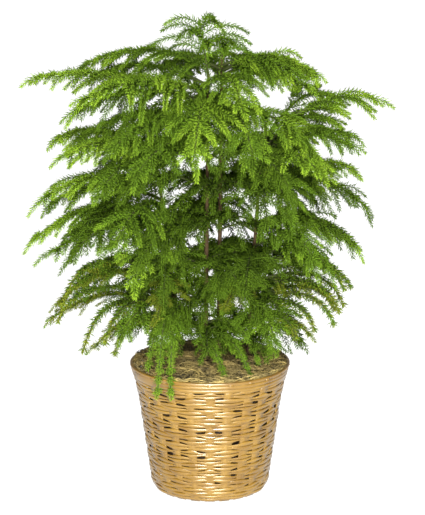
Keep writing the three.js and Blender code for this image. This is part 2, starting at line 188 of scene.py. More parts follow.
# The surfaces. A noise is its patches in a metre and its detail, and a range is the part of it that is used.
NOISE_RANGE = (0.3, 0.7)
STREAK_NOISE = (1.0, 4.0)
LENGTH_NOISE = (34.0, 2.0)
GRAIN_RANGE = (0.66, 1.34)
GRAIN_BUMP = 0.5
REED_ROUGHNESS = (0.26, 0.44)
REED_SHEEN = {"Specular_IOR_Level": 0.75, "Specular_Tint": (1.0, 0.98, 0.86, 1.0)}
ROW_GRAIN = ((9, 9, 260), 0.4 * MM)  # the stretch of the streaks, and their relief
STAKE_GRAIN = ((300, 300, 7), 0.3 * MM)
BORDER_GRAIN = ((8, 8, 190), 0.4 * MM)
MOUND_GRAIN = ((260, 260, 260), 1.2 * MM)
MOUND_ROUGHNESS = 0.95
FIBRE_GRAIN = ((70, 70, 70), 0.2 * MM)
FIBRE_ROUGHNESS = 0.8
PLATE_NOISE = (420.0, 5.0)
SCAR_NOISE = (1.0, 2.0)
SCAR_STRETCH = (60, 60, 420)
BARK_RANGE = (0.7, 1.3)
BARK_BUMP = (0.6, 0.4 * MM)
BARK_SHEEN = {"Roughness": 0.82, "Specular_IOR_Level": 0.12}
NEEDLE_NOISE = (60.0, 3.0)
NEEDLE_VALUES = (0.78, 1.22)
NEEDLE_SHEEN = {"Roughness": 0.6, "Specular_IOR_Level": 0.08}
DUST_NOISE = (55.0, 6.0)
DUST_RANGE = (0.45, 0.8)
DUST_GREY = 0.2
DUST_SHARE = 0.35
POT_SHEEN = 0.4
POT_ROUGHNESS = (0.4, 0.62)
POT_NOISE = (900.0, 2.0)
POT_BUMP = (0.25, 0.1 * MM)
SOIL_NOISE = (210.0, 8.0)
SOIL_RANGE = (0.35, 0.7)
SOIL_DARK = (0.014, 0.009, 0.006)
SOIL_LIGHT = (0.075, 0.045, 0.026)
SOIL_BUMP = (0.9, 1.5 * MM)
SOIL_ROUGHNESS = 0.95

# The plant, by the rule of the part's source.
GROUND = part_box("stem_tall")[0].z
STEM_RADIUS = 4.2 * MM
STEM_TIP = 1.9 * MM
STEM_SIDES = 18
STEM_STEPS = 150
ROOT_FLARE = 2.4 * MM
FLARE_SHARE = 1 / 30
LEAN_SHARE = 0.35
BOUGH_RADIUS = 2.8 * MM
BOUGH_TIP = 0.7 * MM
BOUGH_SIDES = 9
BOUGH_STEPS = 14
CONTROL_SHARE = 0.56
SPRAY_LENGTH = 98 * MM
SPRAY_SHORT = 0.35
SPRAY_FULL_BOUGH = 215 * MM
SPRAY_BEND = 0.5
SPRAY_RISE = 0.05
SPRAY_SPAN = 0.92
SPRAY_ANGLE_INNER = math.radians(56)
SPRAY_ANGLE_OUTER = math.radians(36)
SPRAY_VARIATION = 0.16
SPRAY_FULLEST = 0.25  # where along a bough they are longest
DROOP_SPREAD = 0.22
FEWEST_PAIRS = 3
TIP_SHARE = 0.3  # length of the last pairs, as a share of the longest
TIP_SPRAY = 0.4  # length of the one at a bough's tip, likewise
TIP_ROOT = 0.98  # where along the bough it springs
SPIRAL = math.radians(137.5)
LEADER_DEPTH = 0.75
LEADER_FIRST = 0.35
LEADER_LAST = 0.97
LEADER_TAPER = 0.75
LEADER_RISE = 0.36
LEAFY_STEM = 0.84  # share of a leading stem past which it has needles
TWIG_POINTS = 5
TWIG_SIDES = 3
TWIG_TIP = 0.45

# The relief of its bark.
BARK_PLATES = 260  # in a metre
BARK_PLATE_RELIEF = 0.3 * MM
YOUNG_BARK = 0.5  # relief of a bough's bark, as a share of a stem's
SCAR_SPACING = 11 * MM
SCAR_RELIEF = 0.18 * MM
SCAR_SHARPNESS = 6
LIMB_WELD = 0.01 * MM

# Each stem as the [x, y] of its foot and of its tip, and the tip's height.
STEMS = {
    "tall": ((14, 34), (18, 22), 672),
    "middle": ((-7, -18), (-2, 2), 648),
    "left": ((-45, 22), (-86, 10), 545),
    "right": ((60, 14), (80, 6), 562),
}

# Boughs: stem, height on the stem, azimuth in degrees from +X, reach, lift of the arch, height of the tip.
BOUGHS = {
    "crown": (
        ("tall", 655, 172, 208, 52, 6),
        ("tall", 645, 8, 140, 38, 4),
        ("tall", 636, 281, 138, 34, -16),
        ("tall", 640, 105, 205, 50, -14),
    ),
    "upper": (
        ("middle", 602, 179, 252, 66, 44),
        ("middle", 622, 214, 214, 46, 4),
        ("middle", 598, 264, 176, 42, -40),
        ("tall", 510, 50, 232, 60, -14),
    ),
    "plume": (
        ("right", 552, 3, 164, 76, 62),
        ("right", 542, 46, 150, 86, 64),
        ("right", 512, 42, 140, 84, 58),
        ("right", 528, 24, 118, 80, 62),
    ),
    # Bright fronds in front of those.
    "front": (
        ("tall", 586, 326, 166, 30, -46),
        ("tall", 652, 345, 132, 46, 8),
        ("tall", 632, 356, 130, 40, -2),
        ("tall", 660, 2, 126, 34, -8),
    ),
    "shoulder": (
        ("left", 528, 160, 162, 54, 16),
        ("left", 534, 222, 164, 40, 8),
        ("right", 474, 15, 150, 60, 26),
        ("right", 516, 308, 132, 38, 4),
        ("tall", 540, 135, 232, 58, -18),
    ),
    "middle": (
        ("left", 425, 184, 196, 50, -26),
        ("left", 478, 206, 184, 44, -2),
        ("right", 406, 354, 152, 54, -18),
        ("left", 400, 249, 128, 40, -48),
        ("right", 466, 60, 206, 50, -32),
    ),
    "low": (
        ("left", 326, 186, 176, 50, -28),
        ("left", 285, 165, 206, 42, -34),
        ("left", 250, 206, 140, 48, -14),
        ("left", 318, 262, 140, 34, -16),
        ("right", 318, 342, 128, 44, -14),
        ("right", 262, 322, 112, 36, -2),
        ("right", 312, 250, 124, 36, 4),
        ("tall", 330, 112, 200, 46, -50),
        ("right", 352, 62, 196, 50, -44),
    ),
    # Long bare-axed branchlets, low down on both sides.
    "streamer": (
        ("right", 340, 340, 156, 52, -8),
        ("right", 326, 349, 142, 48, -30),
        ("right", 316, 331, 148, 54, -18),
        ("right", 300, 324, 150, 50, -18),
        ("right", 290, 312, 138, 48, -14),
        ("right", 275, 300, 130, 38, -8),
        ("right", 352, 334, 150, 56, -20),
        ("left", 284, 225, 146, 60, -30),
        ("left", 268, 232, 146, 50, -27),
        ("left", 316, 190, 174, 70, -24),
        ("left", 290, 215, 167, 60, -50),
        ("left", 338, 200, 176, 74, -34),
        ("left", 296, 186, 182, 60, -30),
        ("tall", 300, 80, 150, 40, -30),
        ("tall", 320, 140, 150, 40, -34),
        ("right", 300, 20, 140, 40, -30),
    ),
    # More boughs between those, which fill the crown.
    "fill": (
        ("tall", 652, 328, 136, 38, 0),
        ("tall", 590, 285, 175, 40, -44),
        ("left", 445, 247, 165, 42, -30),
        ("right", 482, 292, 112, 38, -24),
        ("middle", 546, 238, 186, 38, -18),
        ("middle", 632, 150, 190, 45, 10),
        ("middle", 574, 183, 190, 44, -16),
        ("middle", 606, 192, 200, 44, -6),
        ("right", 526, 352, 136, 58, 34),
        ("right", 530, 336, 142, 54, 20),
        ("tall", 585, 96, 188, 46, -20),
        ("right", 478, 92, 190, 50, -20),
        ("left", 500, 118, 190, 52, -30),
        ("right", 420, 306, 140, 40, -34),
        ("tall", 420, 98, 192, 54, -46),
        ("left", 400, 140, 190, 56, -40),
        ("right", 384, 330, 126, 46, -20),
        ("middle", 570, 228, 196, 44, -6),
        ("left", 510, 240, 150, 36, -14),
        ("left", 290, 236, 132, 34, -12),
        ("right", 280, 286, 118, 34, -14),
        ("left", 404, 198, 176, 46, -18),
        ("left", 455, 172, 172, 46, -8),
        ("left", 335, 148, 172, 48, -40),
        ("tall", 356, 76, 172, 48, -44),
        ("right", 322, 98, 156, 44, -40),
        ("left", 300, 112, 150, 42, -38),
    ),
    # Thin sprigs that hang over the moss and the basket's border.
    "sprig": (
        ("left", 292, 261, 146, 46, -104),
        ("left", 280, 268, 142, 44, -92),
        ("left", 275, 247, 103, 28, -59),
        ("left", 262, 303, 137, 24, -57),
        ("middle", 250, 315, 98, 24, -50),
        ("middle", 268, 331, 91, 28, -47),
        ("right", 262, 295, 71, 24, -33),
    ),
}

# The tufts on top: the leader's height and lean, the reach and number of its sprays, and how far they hang.
TOPS = {
    "middle": (78, (-14, 6), 90, 13, -0.02),
    "tall": (26, (2, -2), 48, 7, 0.15),
}

# Shorter boughs in whorls up each stem fill the inside of the crown, in millimetres as above.
INNER_LOWEST = 252
INNER_BELOW_TOP = 80
INNER_LEVEL = 54
INNER_PER_LEVEL = 4
INNER_REACH = (74, 160)
INNER_REACH_SHARES = (0.85, 1.12)
INNER_FULL_HEIGHT = 430
INNER_LIFT = 0.3
INNER_FALL = -0.14
INNER_TURN = 24  # degrees that a bough may stand off its even place in the whorl
INNER_RISE = 9  # how far it may stand above or below the whorl
INNER_SIDES = 6
THIN_WOOD = 0.62  # girth of an inner bough or a leader, as a share of a main bough's
# Boxes that their outer halves stay out of, where the stems and the sky show through the crown.
OPENINGS = (
    ((-20, -300, 398), (70, -66, 500)),
    ((70, -300, 540), (130, 300, 615)),
    ((32, 0, 426), (64, 300, 456)),
)
OUTER_HALF = (0.5, 0.75, 1.0)


class Kind(NamedTuple):
    """How a kind of bough grows."""

    bare: float  # share at its root without branchlets
    length: float  # of its branchlets, as a share of the rule's
    droop: float  # of their tips, as a share of their length
    spread: float  # of their angles from the bough, as a share of the rule's
    spacing: float  # between them, likewise
    needles: float  # their number, likewise
    needle_size: float  # likewise
    ruffle: float  # how far its branchlets stray from an even frond
    growth_and_light: float  # how pale its green is: partly how new it is, partly painted light on the crown's outside
    tints: tuple  # from its darkest needles to its palest: oldest to newest, and partly painted shade to painted light
    arch: float = CONTROL_SHARE  # share of its reach before it bends down


# Palettes of tints. The greens of the inner and filling boughs are darker partly because their needles are
# older and partly as painted shade inside the crown; those of the outer, upper boughs are paler partly as new
# growth and partly as painted light.
NEW_AND_LIT_GREEN = ("deep", "leaf", "fresh", "tip")
OLD_AND_SHADED_GREEN = ("deep", "leaf", "leaf", "fresh")
LOW_GREEN = ("deep", "olive", "olive", "fresh")
ROPE_GREEN = ("deep", "deep", "olive", "leaf")
INNER_GREEN = ("shade", "deep", "deep", "leaf")
KINDS = {
    "crown": Kind(0.08, 1.0, 0.32, 1.0, 1.15, 1.0, 1.08, 0.14, 0.52, NEW_AND_LIT_GREEN),
    "upper": Kind(0.08, 1.0, 0.34, 1.0, 1.2, 1.0, 1.12, 0.15, 0.54, NEW_AND_LIT_GREEN),
    "plume": Kind(0.3, 1.2, 0.3, 0.85, 2.1, 0.95, 1.15, 0.12, 0.54, NEW_AND_LIT_GREEN),
    "front": Kind(0.08, 0.95, 0.36, 1.0, 1.2, 1.0, 1.12, 0.15, 0.54, NEW_AND_LIT_GREEN),
    "shoulder": Kind(0.08, 0.95, 0.34, 1.0, 1.2, 1.0, 1.12, 0.15, 0.56, NEW_AND_LIT_GREEN),
    "middle": Kind(0.1, 0.95, 0.3, 1.0, 1.25, 1.0, 1.1, 0.15, 0.5, NEW_AND_LIT_GREEN),
    "low": Kind(0.1, 0.6, 0.2, 0.75, 1.2, 1.05, 0.9, 0.25, 0.26, LOW_GREEN),
    "streamer": Kind(0.2, 0.13, 0.3, 1.0, 0.8, 0.7, 1.25, 0.15, 0.3, ROPE_GREEN, 0.8),
    "fill": Kind(0.12, 0.95, 0.36, 1.0, 1.2, 0.95, 1.1, 0.2, 0.44, OLD_AND_SHADED_GREEN),
    "sprig": Kind(0.1, 0.3, 0.3, 0.8, 0.8, 1.1, 0.95, 0.15, 0.5, OLD_AND_SHADED_GREEN, 0.62),
    "inner": Kind(0.22, 0.9, 0.3, 1.0, 1.0, 0.7, 1.15, 0.3, 0.1, INNER_GREEN),
    "top": Kind(0.0, 1.0, 0.0, 1.0, 1.0, 0.9, 1.18, 0.0, 0.44, OLD_AND_SHADED_GREEN),
}
TINTS = ("shade", "deep", "olive", "leaf", "fresh", "tip")
# Needles further out on a bough are paler: partly newer growth, partly painted light on the crown's outside.
GROWTH_AND_LIGHT_OUTWARDS = 0.34
GROWTH_AND_LIGHT_SPREAD = 0.13
AXIS_PLACE = 0.5  # how far out the needles on a bough's own axis count as standing
FRESH_SHARE = 0.7  # where along a branchlet the needles take the next brighter tint
FRESH_SPREAD = 0.06

# Needles: a keeled lozenge, widest a third of the way out, that leaves the twig steeply and curves forwards.
NEEDLE_POINTS = 4
NEEDLE_CORNERS = np.array(((0, 1, 2), (1, 3, 2), (0, 3, 1), (0, 2, 3)))
NEEDLE_WIDEST = 0.36
NEEDLE_BOW = 0.1
NEEDLE_ANGLES = (math.radians(64), math.radians(44))
NEEDLE_ANGLE_EASE = 1.5
NEEDLE_ANGLE_SPREAD = math.radians(6)
NEEDLE_LENGTHS = (0.8, 1.15)  # as shares of the length that is set
NEEDLE_FULL_SHARE = 0.6  # where along the twig they start to get shorter
NEEDLE_SHORTER = 0.4  # by how much at its tip
NEEDLE_COMB = 0.28  # how far they lean to the two sides of the twig, below 0.5
NEEDLE_CROWDING = 1.2  # how much closer they stand towards the twig's tip
NEEDLE_NUDGE = 1e-6  # gives an upright twig a side
NEEDLES_PER_PIECE = 47000

# The camera at the photo's angle, the floor and the lights.
CAMERA_PLACE = (0.004, -2.5, 0.929)
CAMERA_PITCH = math.radians(12.65)
CAMERA_LENS = 116.46
CAMERA_SENSOR = 36.0
FLOOR_HALF = 40.0
FLOOR_Z = -0.4 * MM
FLOOR_ROUGHNESS = 0.9
WHITE = (1.0, 1.0, 1.0, 1.0)
OVERHEAD_PLACE = (0.4, -2.0, 3.2)
OVERHEAD_ANGLE = math.radians(60)
SOFTBOX_PLACE = (0.03, -2.35, 1.35)
SOFTBOX_SIZE = (1.3, 0.9)
LOW_SOFTBOX_PLACE = (0.03, -2.2, 0.25)
LOW_SOFTBOX_SIZE = (0.9, 0.4)
LIGHT_AIM = Vector((0, 0, 1.5 * BASKET_HEIGHT))

LengthProperty = partial(bpy.props.FloatProperty, unit="LENGTH")
PowerProperty = partial(bpy.props.FloatProperty, subtype="POWER")
ColorProperty = partial(bpy.props.FloatVectorProperty, subtype="COLOR")


class BasketSettings(bpy.types.PropertyGroup):
    """Sizes and colours of the wicker basket."""

    stakes: bpy.props.IntProperty(
        name="Stakes", description="Upright strips round it, an even number", default=24, min=8, step=2
    )
    stake_width: LengthProperty(name="Stake width", description="Width of an upright strip", default=15 * MM)
    rows: bpy.props.IntProperty(name="Rows", description="Woven rows up the side", default=17, min=4)
    strand_height: LengthProperty(
        name="Strand height", description="Height of one of a row's two strands", default=5.9 * MM
    )
    strand_thickness: LengthProperty(
        name="Strand thickness", description="Thickness of a strand", default=2.1 * MM
    )
    weave_depth: LengthProperty(
        name="Weave depth", description="How far a row swings out over a stake", default=0.85 * MM
    )
    unevenness: LengthProperty(
        name="Unevenness", description="How far a strand wanders up and down", default=1.1 * MM
    )
    reed_light: ColorProperty(
        name="Light reed", description="Palest colour of the reed", default=(0.17, 0.095, 0.0095)
    )
    reed_dark: ColorProperty(
        name="Dark reed", description="Darkest colour of the reed", default=(0.09, 0.0435, 0.0036)
    )


class FillSettings(bpy.types.PropertyGroup):
    """The moss and the pot inside the basket."""

    fibres: bpy.props.IntProperty(
        name="Moss fibres", description="Curly fibres on the mound", default=1150, min=1
    )
    fibre_length: LengthProperty(name="Fibre length", description="Length of a moss fibre", default=62 * MM)
    fibre_radius: LengthProperty(name="Fibre radius", description="Radius of a moss fibre", default=0.55 * MM)
    moss_light: ColorProperty(
        name="Light moss", description="Palest colour of the moss", default=(0.335, 0.25, 0.072)
    )
    moss_dark: ColorProperty(
        name="Dark moss", description="Darkest colour of the moss", default=(0.03, 0.022, 0.006)
    )
    pot_color: ColorProperty(name="Pot", description="Colour of the plastic pot", default=(0.06, 0.03, 0.012))


class PlantSettings(bpy.types.PropertyGroup):
    """Sizes and colours of the plant."""

    branchlet_spacing: LengthProperty(
        name="Branchlet spacing", description="Between pairs along a bough", default=15 * MM
    )
    branchlet_radius: LengthProperty(
        name="Branchlet radius", description="Radius of a branchlet's twig", default=0.8 * MM
    )
    needles_per_metre: bpy.props.FloatProperty(
        name="Needles per metre", description="Needles along a metre of branchlet", default=1500
    )
    needle_length: LengthProperty(
        name="Needle length", description="Length of a full needle", default=9.0 * MM
    )
    needle_width: LengthProperty(
        name="Needle width", description="Width of a needle at its widest", default=1.7 * MM
    )
    # The shade and deep greens are partly older needles and partly painted shade inside the crown, by the
    # stems.
    shade: ColorProperty(
        name="Shade green", description="Oldest needles, by the stems", default=(0.034, 0.062, 0.003)
    )
    deep: ColorProperty(
        name="Deep green", description="Needles inside the crown", default=(0.048, 0.088, 0.004)
    )
    olive: ColorProperty(
        name="Olive green", description="Needles on the lowest boughs", default=(0.112, 0.136, 0.0095)
    )
    leaf: ColorProperty(
        name="Leaf green", description="Needles on most branchlets", default=(0.066, 0.123, 0.0065)
    )
    fresh: ColorProperty(
        name="Fresh green", description="Needles on outer branchlets", default=(0.109, 0.188, 0.0105)
    )
    tip: ColorProperty(
        name="Tip green", description="Newest needles, at the tips", default=(0.168, 0.268, 0.017)
    )
    bark_light: ColorProperty(
        name="Light bark", description="Palest colour of the bark", default=(0.05, 0.031, 0.013)
    )
    bark_dark: ColorProperty(
        name="Dark bark", description="Darkest colour of the bark", default=(0.019, 0.011, 0.005)
    )
    bough_light: ColorProperty(
        name="Light bough", description="Palest colour of young wood", default=(0.036, 0.05, 0.01)
    )
    bough_dark: ColorProperty(
        name="Dark bough", description="Darkest colour of young wood", default=(0.02, 0.022, 0.007)
    )


class StageSettings(bpy.types.PropertyGroup):
    """Floor and light."""

    floor_color: ColorProperty(name="Floor", description="Colour of the floor", default=(0.35, 0.35, 0.35))
    floor_glow: bpy.props.FloatProperty(name="Glow", description="Light through the floor", default=2.5)
    ambient: bpy.props.FloatProperty(name="Ambient", description="Strength of light all round", default=0.35)
    sky: bpy.props.FloatProperty(name="Overhead", description="Strength of the even light above", default=1.0)
    key: PowerProperty(name="Key", description="Power of the softbox in front", default=138)
    low_key: PowerProperty(name="Low key", description="Power of the low softbox", default=105)


SETTINGS = {
    "pine_basket": BasketSettings,
    "pine_fill": FillSettings,
    "pine_plant": PlantSettings,
    "pine_stage": StageSettings,
}

# Kinds of socket, and the sockets of Blender's colour Mix node.
COLOR = "NodeSocketColor"
VALUE = "NodeSocketFloat"
VECTOR = "NodeSocketVector"
MIX_FACTOR = 0
MIX_FIRST = 6
MIX_SECOND = 7
MIX_RESULT = 2


def mix(first, second, share):
    """The value that lies this share of the way from the first to the second."""
    return first + (second - first) * share


def unit(vectors):
    """Vectors at unit length."""
    return vectors / np.maximum(np.linalg.norm(vectors, axis=-1, keepdims=True), SHORTEST)


def add_node(tree, kind, inputs=None, **settings):
    """A node with its settings, and with its inputs set to values or linked from sockets."""
    made = tree.nodes.new(kind)
    for name, value in settings.items():
        setattr(made, name, value)
    for key, value in (inputs or {}).items():
        if isinstance(value, bpy.types.NodeSocket):
            tree.links.new(value, made.inputs[key])
        else:
            made.inputs[key].default_value = value
    return made


def group_results(tree, build, inputs):
    """The results of a node group, which a function builds when it is first used, and which has its name."""
    group = bpy.data.node_groups.get(build.__name__)
    if group is None:
        group = bpy.data.node_groups.new(build.__name__, "ShaderNodeTree")
        build(group)
    return add_node(tree, "ShaderNodeGroup", inputs, node_tree=group).outputs


def open_group(tree, inputs, outputs):
    """Gives a node group its sockets: inside it, those that bring values in and that take results out."""
    for socket, kind in inputs.items():
        tree.interface.new_socket(socket, in_out="INPUT", socket_type=kind)
    for socket, kind in outputs.items():
        tree.interface.new_socket(socket, in_out="OUTPUT", socket_type=kind)
    return tree.nodes.new("NodeGroupInput").outputs, tree.nodes.new("NodeGroupOutput").inputs


def object_place(tree):
    """The socket of the place on the object."""
    return add_node(tree, "ShaderNodeTexCoord").outputs["Object"]


def stretched(tree, place, scale):
    """The socket of a place, scaled along each axis."""
    return add_node(tree, "ShaderNodeMapping", {"Vector": place, "Scale": scale}).outputs["Vector"]


def noise_value(tree, place, kind):
    """The socket of a noise (scale, detail) over a place."""
    scale, detail = kind
    inputs = {"Vector": place, "Scale": scale, "Detail": detail}
    return add_node(tree, "ShaderNodeTexNoise", inputs).outputs["Fac"]


def total(tree, first, second):
    """The socket of the sum of two values."""
    return add_node(tree, "ShaderNodeMath", {0: first, 1: second}, operation="ADD").outputs["Value"]


def spread(tree, value, ends, results=(0.0, 1.0)):
    """The socket of a value stretched from one range to another."""
    inputs = {"Value": value, "From Min": ends[0], "From Max": ends[1]}
    inputs |= {"To Min": results[0], "To Max": results[1]}
    return add_node(tree, "ShaderNodeMapRange", inputs).outputs["Result"]


def blend_colors(tree, factor, first, second):
    """The socket of a colour between two others."""
    inputs = {MIX_FACTOR: factor, MIX_FIRST: first, MIX_SECOND: second}
    return add_node(tree, "ShaderNodeMix", inputs, data_type="RGBA").outputs[MIX_RESULT]


def fibre_grain(tree):
    """Long streaks along a fibre, with paler and darker lengths: colour, roughness and relief."""
    inputs = {"Stretch": VECTOR, "Dark": COLOR, "Light": COLOR}
    given, result = open_group(tree, inputs, {"Color": COLOR, "Roughness": VALUE, "Height": VALUE})
    place = object_place(tree)
    streaks = noise_value(tree, stretched(tree, place, given["Stretch"]), STREAK_NOISE)
    lengths = noise_value(tree, place, LENGTH_NOISE)
    tone = spread(tree, total(tree, streaks, lengths), GRAIN_RANGE)
    tree.links.new(blend_colors(tree, tone, given["Dark"], given["Light"]), result["Color"])
    tree.links.new(spread(tree, lengths, NOISE_RANGE, REED_ROUGHNESS), result["Roughness"])
    tree.links.new(streaks, result["Height"])


def bark_relief(tree):
    """Bark in rough plates and rings of scars: colour and relief."""
    given, result = open_group(tree, {"Dark": COLOR, "Light": COLOR}, {"Color": COLOR, "Height": VALUE})
    place = object_place(tree)
    plates = noise_value(tree, place, PLATE_NOISE)
    scars = noise_value(tree, stretched(tree, place, SCAR_STRETCH), SCAR_NOISE)
    both = total(tree, plates, scars)
    tone = spread(tree, both, BARK_RANGE)
    tree.links.new(blend_colors(tree, tone, given["Dark"], given["Light"]), result["Color"])
    tree.links.new(both, result["Height"])


def needle_tone(tree):
    """Needles that are a little paler here and darker there: colour."""
    given, result = open_group(tree, {"Color": COLOR}, {"Color": COLOR})
    patches = noise_value(tree, object_place(tree), NEEDLE_NOISE)
    inputs = {"Color": given["Color"], "Value": spread(tree, patches, NOISE_RANGE, NEEDLE_VALUES)}
    tree.links.new(add_node(tree, "ShaderNodeHueSaturation", inputs).outputs["Color"], result["Color"])


def new_material(name, **constants):
    """A material with its shader, whose sockets with one value all over are set here."""
    material = bpy.data.materials.new(name)
    material.use_nodes = True
    shader = material.node_tree.nodes["Principled BSDF"]
    for socket, value in constants.items():
        shader.inputs[socket.replace("_", " ")].default_value = value
    return material, material.node_tree, shader.inputs


def opaque(color):
    """A colour with the alpha that a colour socket takes."""
    return (*color, 1.0)


def bump(tree, surface, height, strength, distance):
    """Relief in the shading, from a height that changes over the surface."""
    inputs = {"Height": height, "Strength": strength, "Distance": distance}
    tree.links.new(add_node(tree, "ShaderNodeBump", inputs).outputs["Normal"], surface["Normal"])


def fibre_material(name, light, dark, grain, **constants):
    """Reed or moss: fibres with a grain (stretch, relief) that runs the way the stretch is smallest."""
    stretch, relief = grain
    material, tree, surface = new_material(name, **constants)
    inputs = {"Stretch": stretch, "Dark": opaque(dark), "Light": opaque(light)}
    fibre = group_results(tree, fibre_grain, inputs)
    tree.links.new(fibre["Color"], surface["Base Color"])
    if "Roughness" not in constants:
        tree.links.new(fibre["Roughness"], surface["Roughness"])
    bump(tree, surface, fibre["Height"], GRAIN_BUMP, relief)
    return material


def reed_material(name, basket, grain, shade=1.0):
    """The basket's glossy reed."""
    light = tuple(value * shade for value in basket.reed_light)
    return fibre_material(name, light, basket.reed_dark, grain, **REED_SHEEN)


def bark_material(name, light, dark):
    """The bark of a stem or of young wood."""
    material, tree, surface = new_material(name, **BARK_SHEEN)
    bark = group_results(tree, bark_relief, {"Dark": opaque(dark), "Light": opaque(light)})
    tree.links.new(bark["Color"], surface["Base Color"])
    bump(tree, surface, bark["Height"], *BARK_BUMP)
    return material


def needle_material(name, color):
    """Soft green needles."""
    material, tree, surface = new_material(name, **NEEDLE_SHEEN)
    tone = group_results(tree, needle_tone, {"Color": opaque(color)})
    tree.links.new(tone["Color"], surface["Base Color"])
    return material


def pot_material(color):
    """Dark moulded plastic, a little dusty."""
    material, tree, surface = new_material("pot_plastic", Specular_IOR_Level=POT_SHEEN)
    place = object_place(tree)
    dust = noise_value(tree, place, DUST_NOISE)
    dusty = tuple(mix(value, DUST_GREY, DUST_SHARE) for value in color)
    tone = spread(tree, dust, DUST_RANGE)
    tree.links.new(blend_colors(tree, tone, opaque(color), opaque(dusty)), surface["Base Color"])
    tree.links.new(spread(tree, dust, NOISE_RANGE, POT_ROUGHNESS), surface["Roughness"])
    bump(tree, surface, noise_value(tree, place, POT_NOISE), *POT_BUMP)
    return material


def soil_material():
    """Dark crumbly potting mix."""
    material, tree, surface = new_material("potting_mix", Roughness=SOIL_ROUGHNESS)
    crumbs = noise_value(tree, object_place(tree), SOIL_NOISE)
    tone = spread(tree, crumbs, SOIL_RANGE)
    tree.links.new(blend_colors(tree, tone, opaque(SOIL_DARK), opaque(SOIL_LIGHT)), surface["Base Color"])
    bump(tree, surface, crumbs, *SOIL_BUMP)
    return material


def place_piece(mesh, material, nodes=()):
    """A finished mesh as a piece at the origin, which rides on the plant and stands for these CAD nodes."""
    mesh.materials.append(material)
    piece = bpy.data.objects.new(mesh.name, mesh)
    bpy.context.scene.collection.objects.link(piece)
    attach(piece, BODY)
    if nodes:
        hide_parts(*nodes)


def nodes_named(prefix):
    """The CAD nodes whose names start this way."""
    return sorted(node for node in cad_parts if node.startswith(prefix))


def mesh_of(shape, name):
    """The mesh of a finished shape, closed, facing outwards and smooth."""
    bmesh.ops.remove_doubles(shape, verts=shape.verts, dist=WELD)
    bmesh.ops.recalc_face_normals(shape, faces=shape.faces)
    mesh = bpy.data.meshes.new(name)
    shape.to_mesh(mesh)
    shape.free()
    mesh.shade_smooth()
    return mesh


def mesh_from_arrays(name, points, corners):
    """A mesh of triangles from points (n, 3) and corners (m, 3)."""
    mesh = bpy.data.meshes.new(name)
    mesh.vertices.add(len(points))
    mesh.vertices.foreach_set("co", points.astype(np.float32).ravel())
    mesh.loops.add(corners.size)
    mesh.loops.foreach_set("vertex_index", corners.astype(np.int32).ravel())
    mesh.polygons.add(len(corners))
    mesh.polygons.foreach_set("loop_start", np.arange(0, corners.size, 3, dtype=np.int32))
    mesh.update(calc_edges=True)
    return mesh


def join(shape, part):
    """Adds a finished part to a shape."""
    mesh = bpy.data.meshes.new("part")
    part.to_mesh(mesh)
    part.free()
    shape.from_mesh(mesh)
    bpy.data.meshes.remove(mesh)


def turn_round(shape, outline, steps):
    """Turns an outline once about the basket's axis."""
    axis = {"cent": (0, 0, 0), "axis": (0, 0, 1), "angle": TURN, "steps": steps}
    bmesh.ops.spin(shape, geom=outline, use_merge=True, **axis)


def add_profile(shape, profile, steps):
    """A profile of [radius, height] pairs in millimetres, turned about the basket's axis."""
    points = [shape.verts.new((radius * MM, 0, z * MM)) for radius, z in profile]
    edges = [shape.edges.new(pair) for pair in zip(points, points[1:])]
    turn_round(shape, points + edges, steps)


def add_strip(shape, steps, place, turn=None):
    """The faces of a strip of reed, laid point by point by a function, and turned about the basket's axis."""
    strip = bmesh.ops.create_grid(shape, x_segments=steps[0], y_segments=steps[1], size=0.5)["verts"]
    for vertex in strip:
        vertex.co = place(vertex.co.x, vertex.co.y)
    if turn is not None:
        bmesh.ops.rotate(shape, verts=strip, cent=(0, 0, 0), matrix=Matrix.Rotation(turn, 3, "Z"))
    return list(dict.fromkeys(face for vertex in strip for face in vertex.link_faces))


def basket_radius(z):
    """Outer radius of the basket's side at a height: a rounded heel, a straight side and a flared lip."""
    if z < HEEL_HEIGHT:
        share = 1 - max(z, 0.0) / HEEL_HEIGHT
        return mix(BASE_RADIUS, HEEL_RADIUS, math.sqrt(1 - share * share))
    if z < WAIST_HEIGHT:
        return mix(HEEL_RADIUS, WAIST_RADIUS, (z - HEEL_HEIGHT) / (WAIST_HEIGHT - HEEL_HEIGHT))
    return mix(WAIST_RADIUS, RIM_RADIUS, ((z - WAIST_HEIGHT) / (BASKET_HEIGHT - WAIST_HEIGHT)) ** LIP_FLARE)


def add_hoop(shape, radius, z, section, steps, wander, swing=None, belly=None, about=0.0):
    """A closed hoop of reed of a section (thickness, height), which wanders up and down and in and out.

    It starts at a radius and height, and follows the slope of the basket's side. A belly swells and narrows
    it about a height."""
    hoop = bmesh.new()
    ring = bmesh.ops.create_circle(hoop, segments=STRAND_SIDES, radius=0.5)["verts"]
    for vertex in ring:
        for axis in (0, 1):
            vertex.co[axis] = math.copysign(abs(2 * vertex.co[axis]) ** STRAND_FLATNESS / 2, vertex.co[axis])
    upright = Matrix.Rotation(math.pi / 2, 4, "X")
    size = Matrix.Diagonal((section[0], 1.0, section[1], 1.0))
    bmesh.ops.transform(hoop, matrix=Matrix.Translation((radius, 0, z)) @ size @ upright, verts=ring)
    turn_round(hoop, hoop.verts[:] + hoop.edges[:], steps)
    middle = basket_radius(z)
    for vertex in hoop.verts:
        angle = math.atan2(vertex.co.y, vertex.co.x)
        out = math.hypot(vertex.co.x, vertex.co.y)
        if belly:
            vertex.co.z = mix(about, vertex.co.z, belly(angle))
        vertex.co.z += wander(angle)
        out += basket_radius(vertex.co.z) - middle
        if swing:
            out += swing(angle)
        vertex.co.x = out * math.cos(angle)
        vertex.co.y = out * math.sin(angle)
    join(shape, hoop)


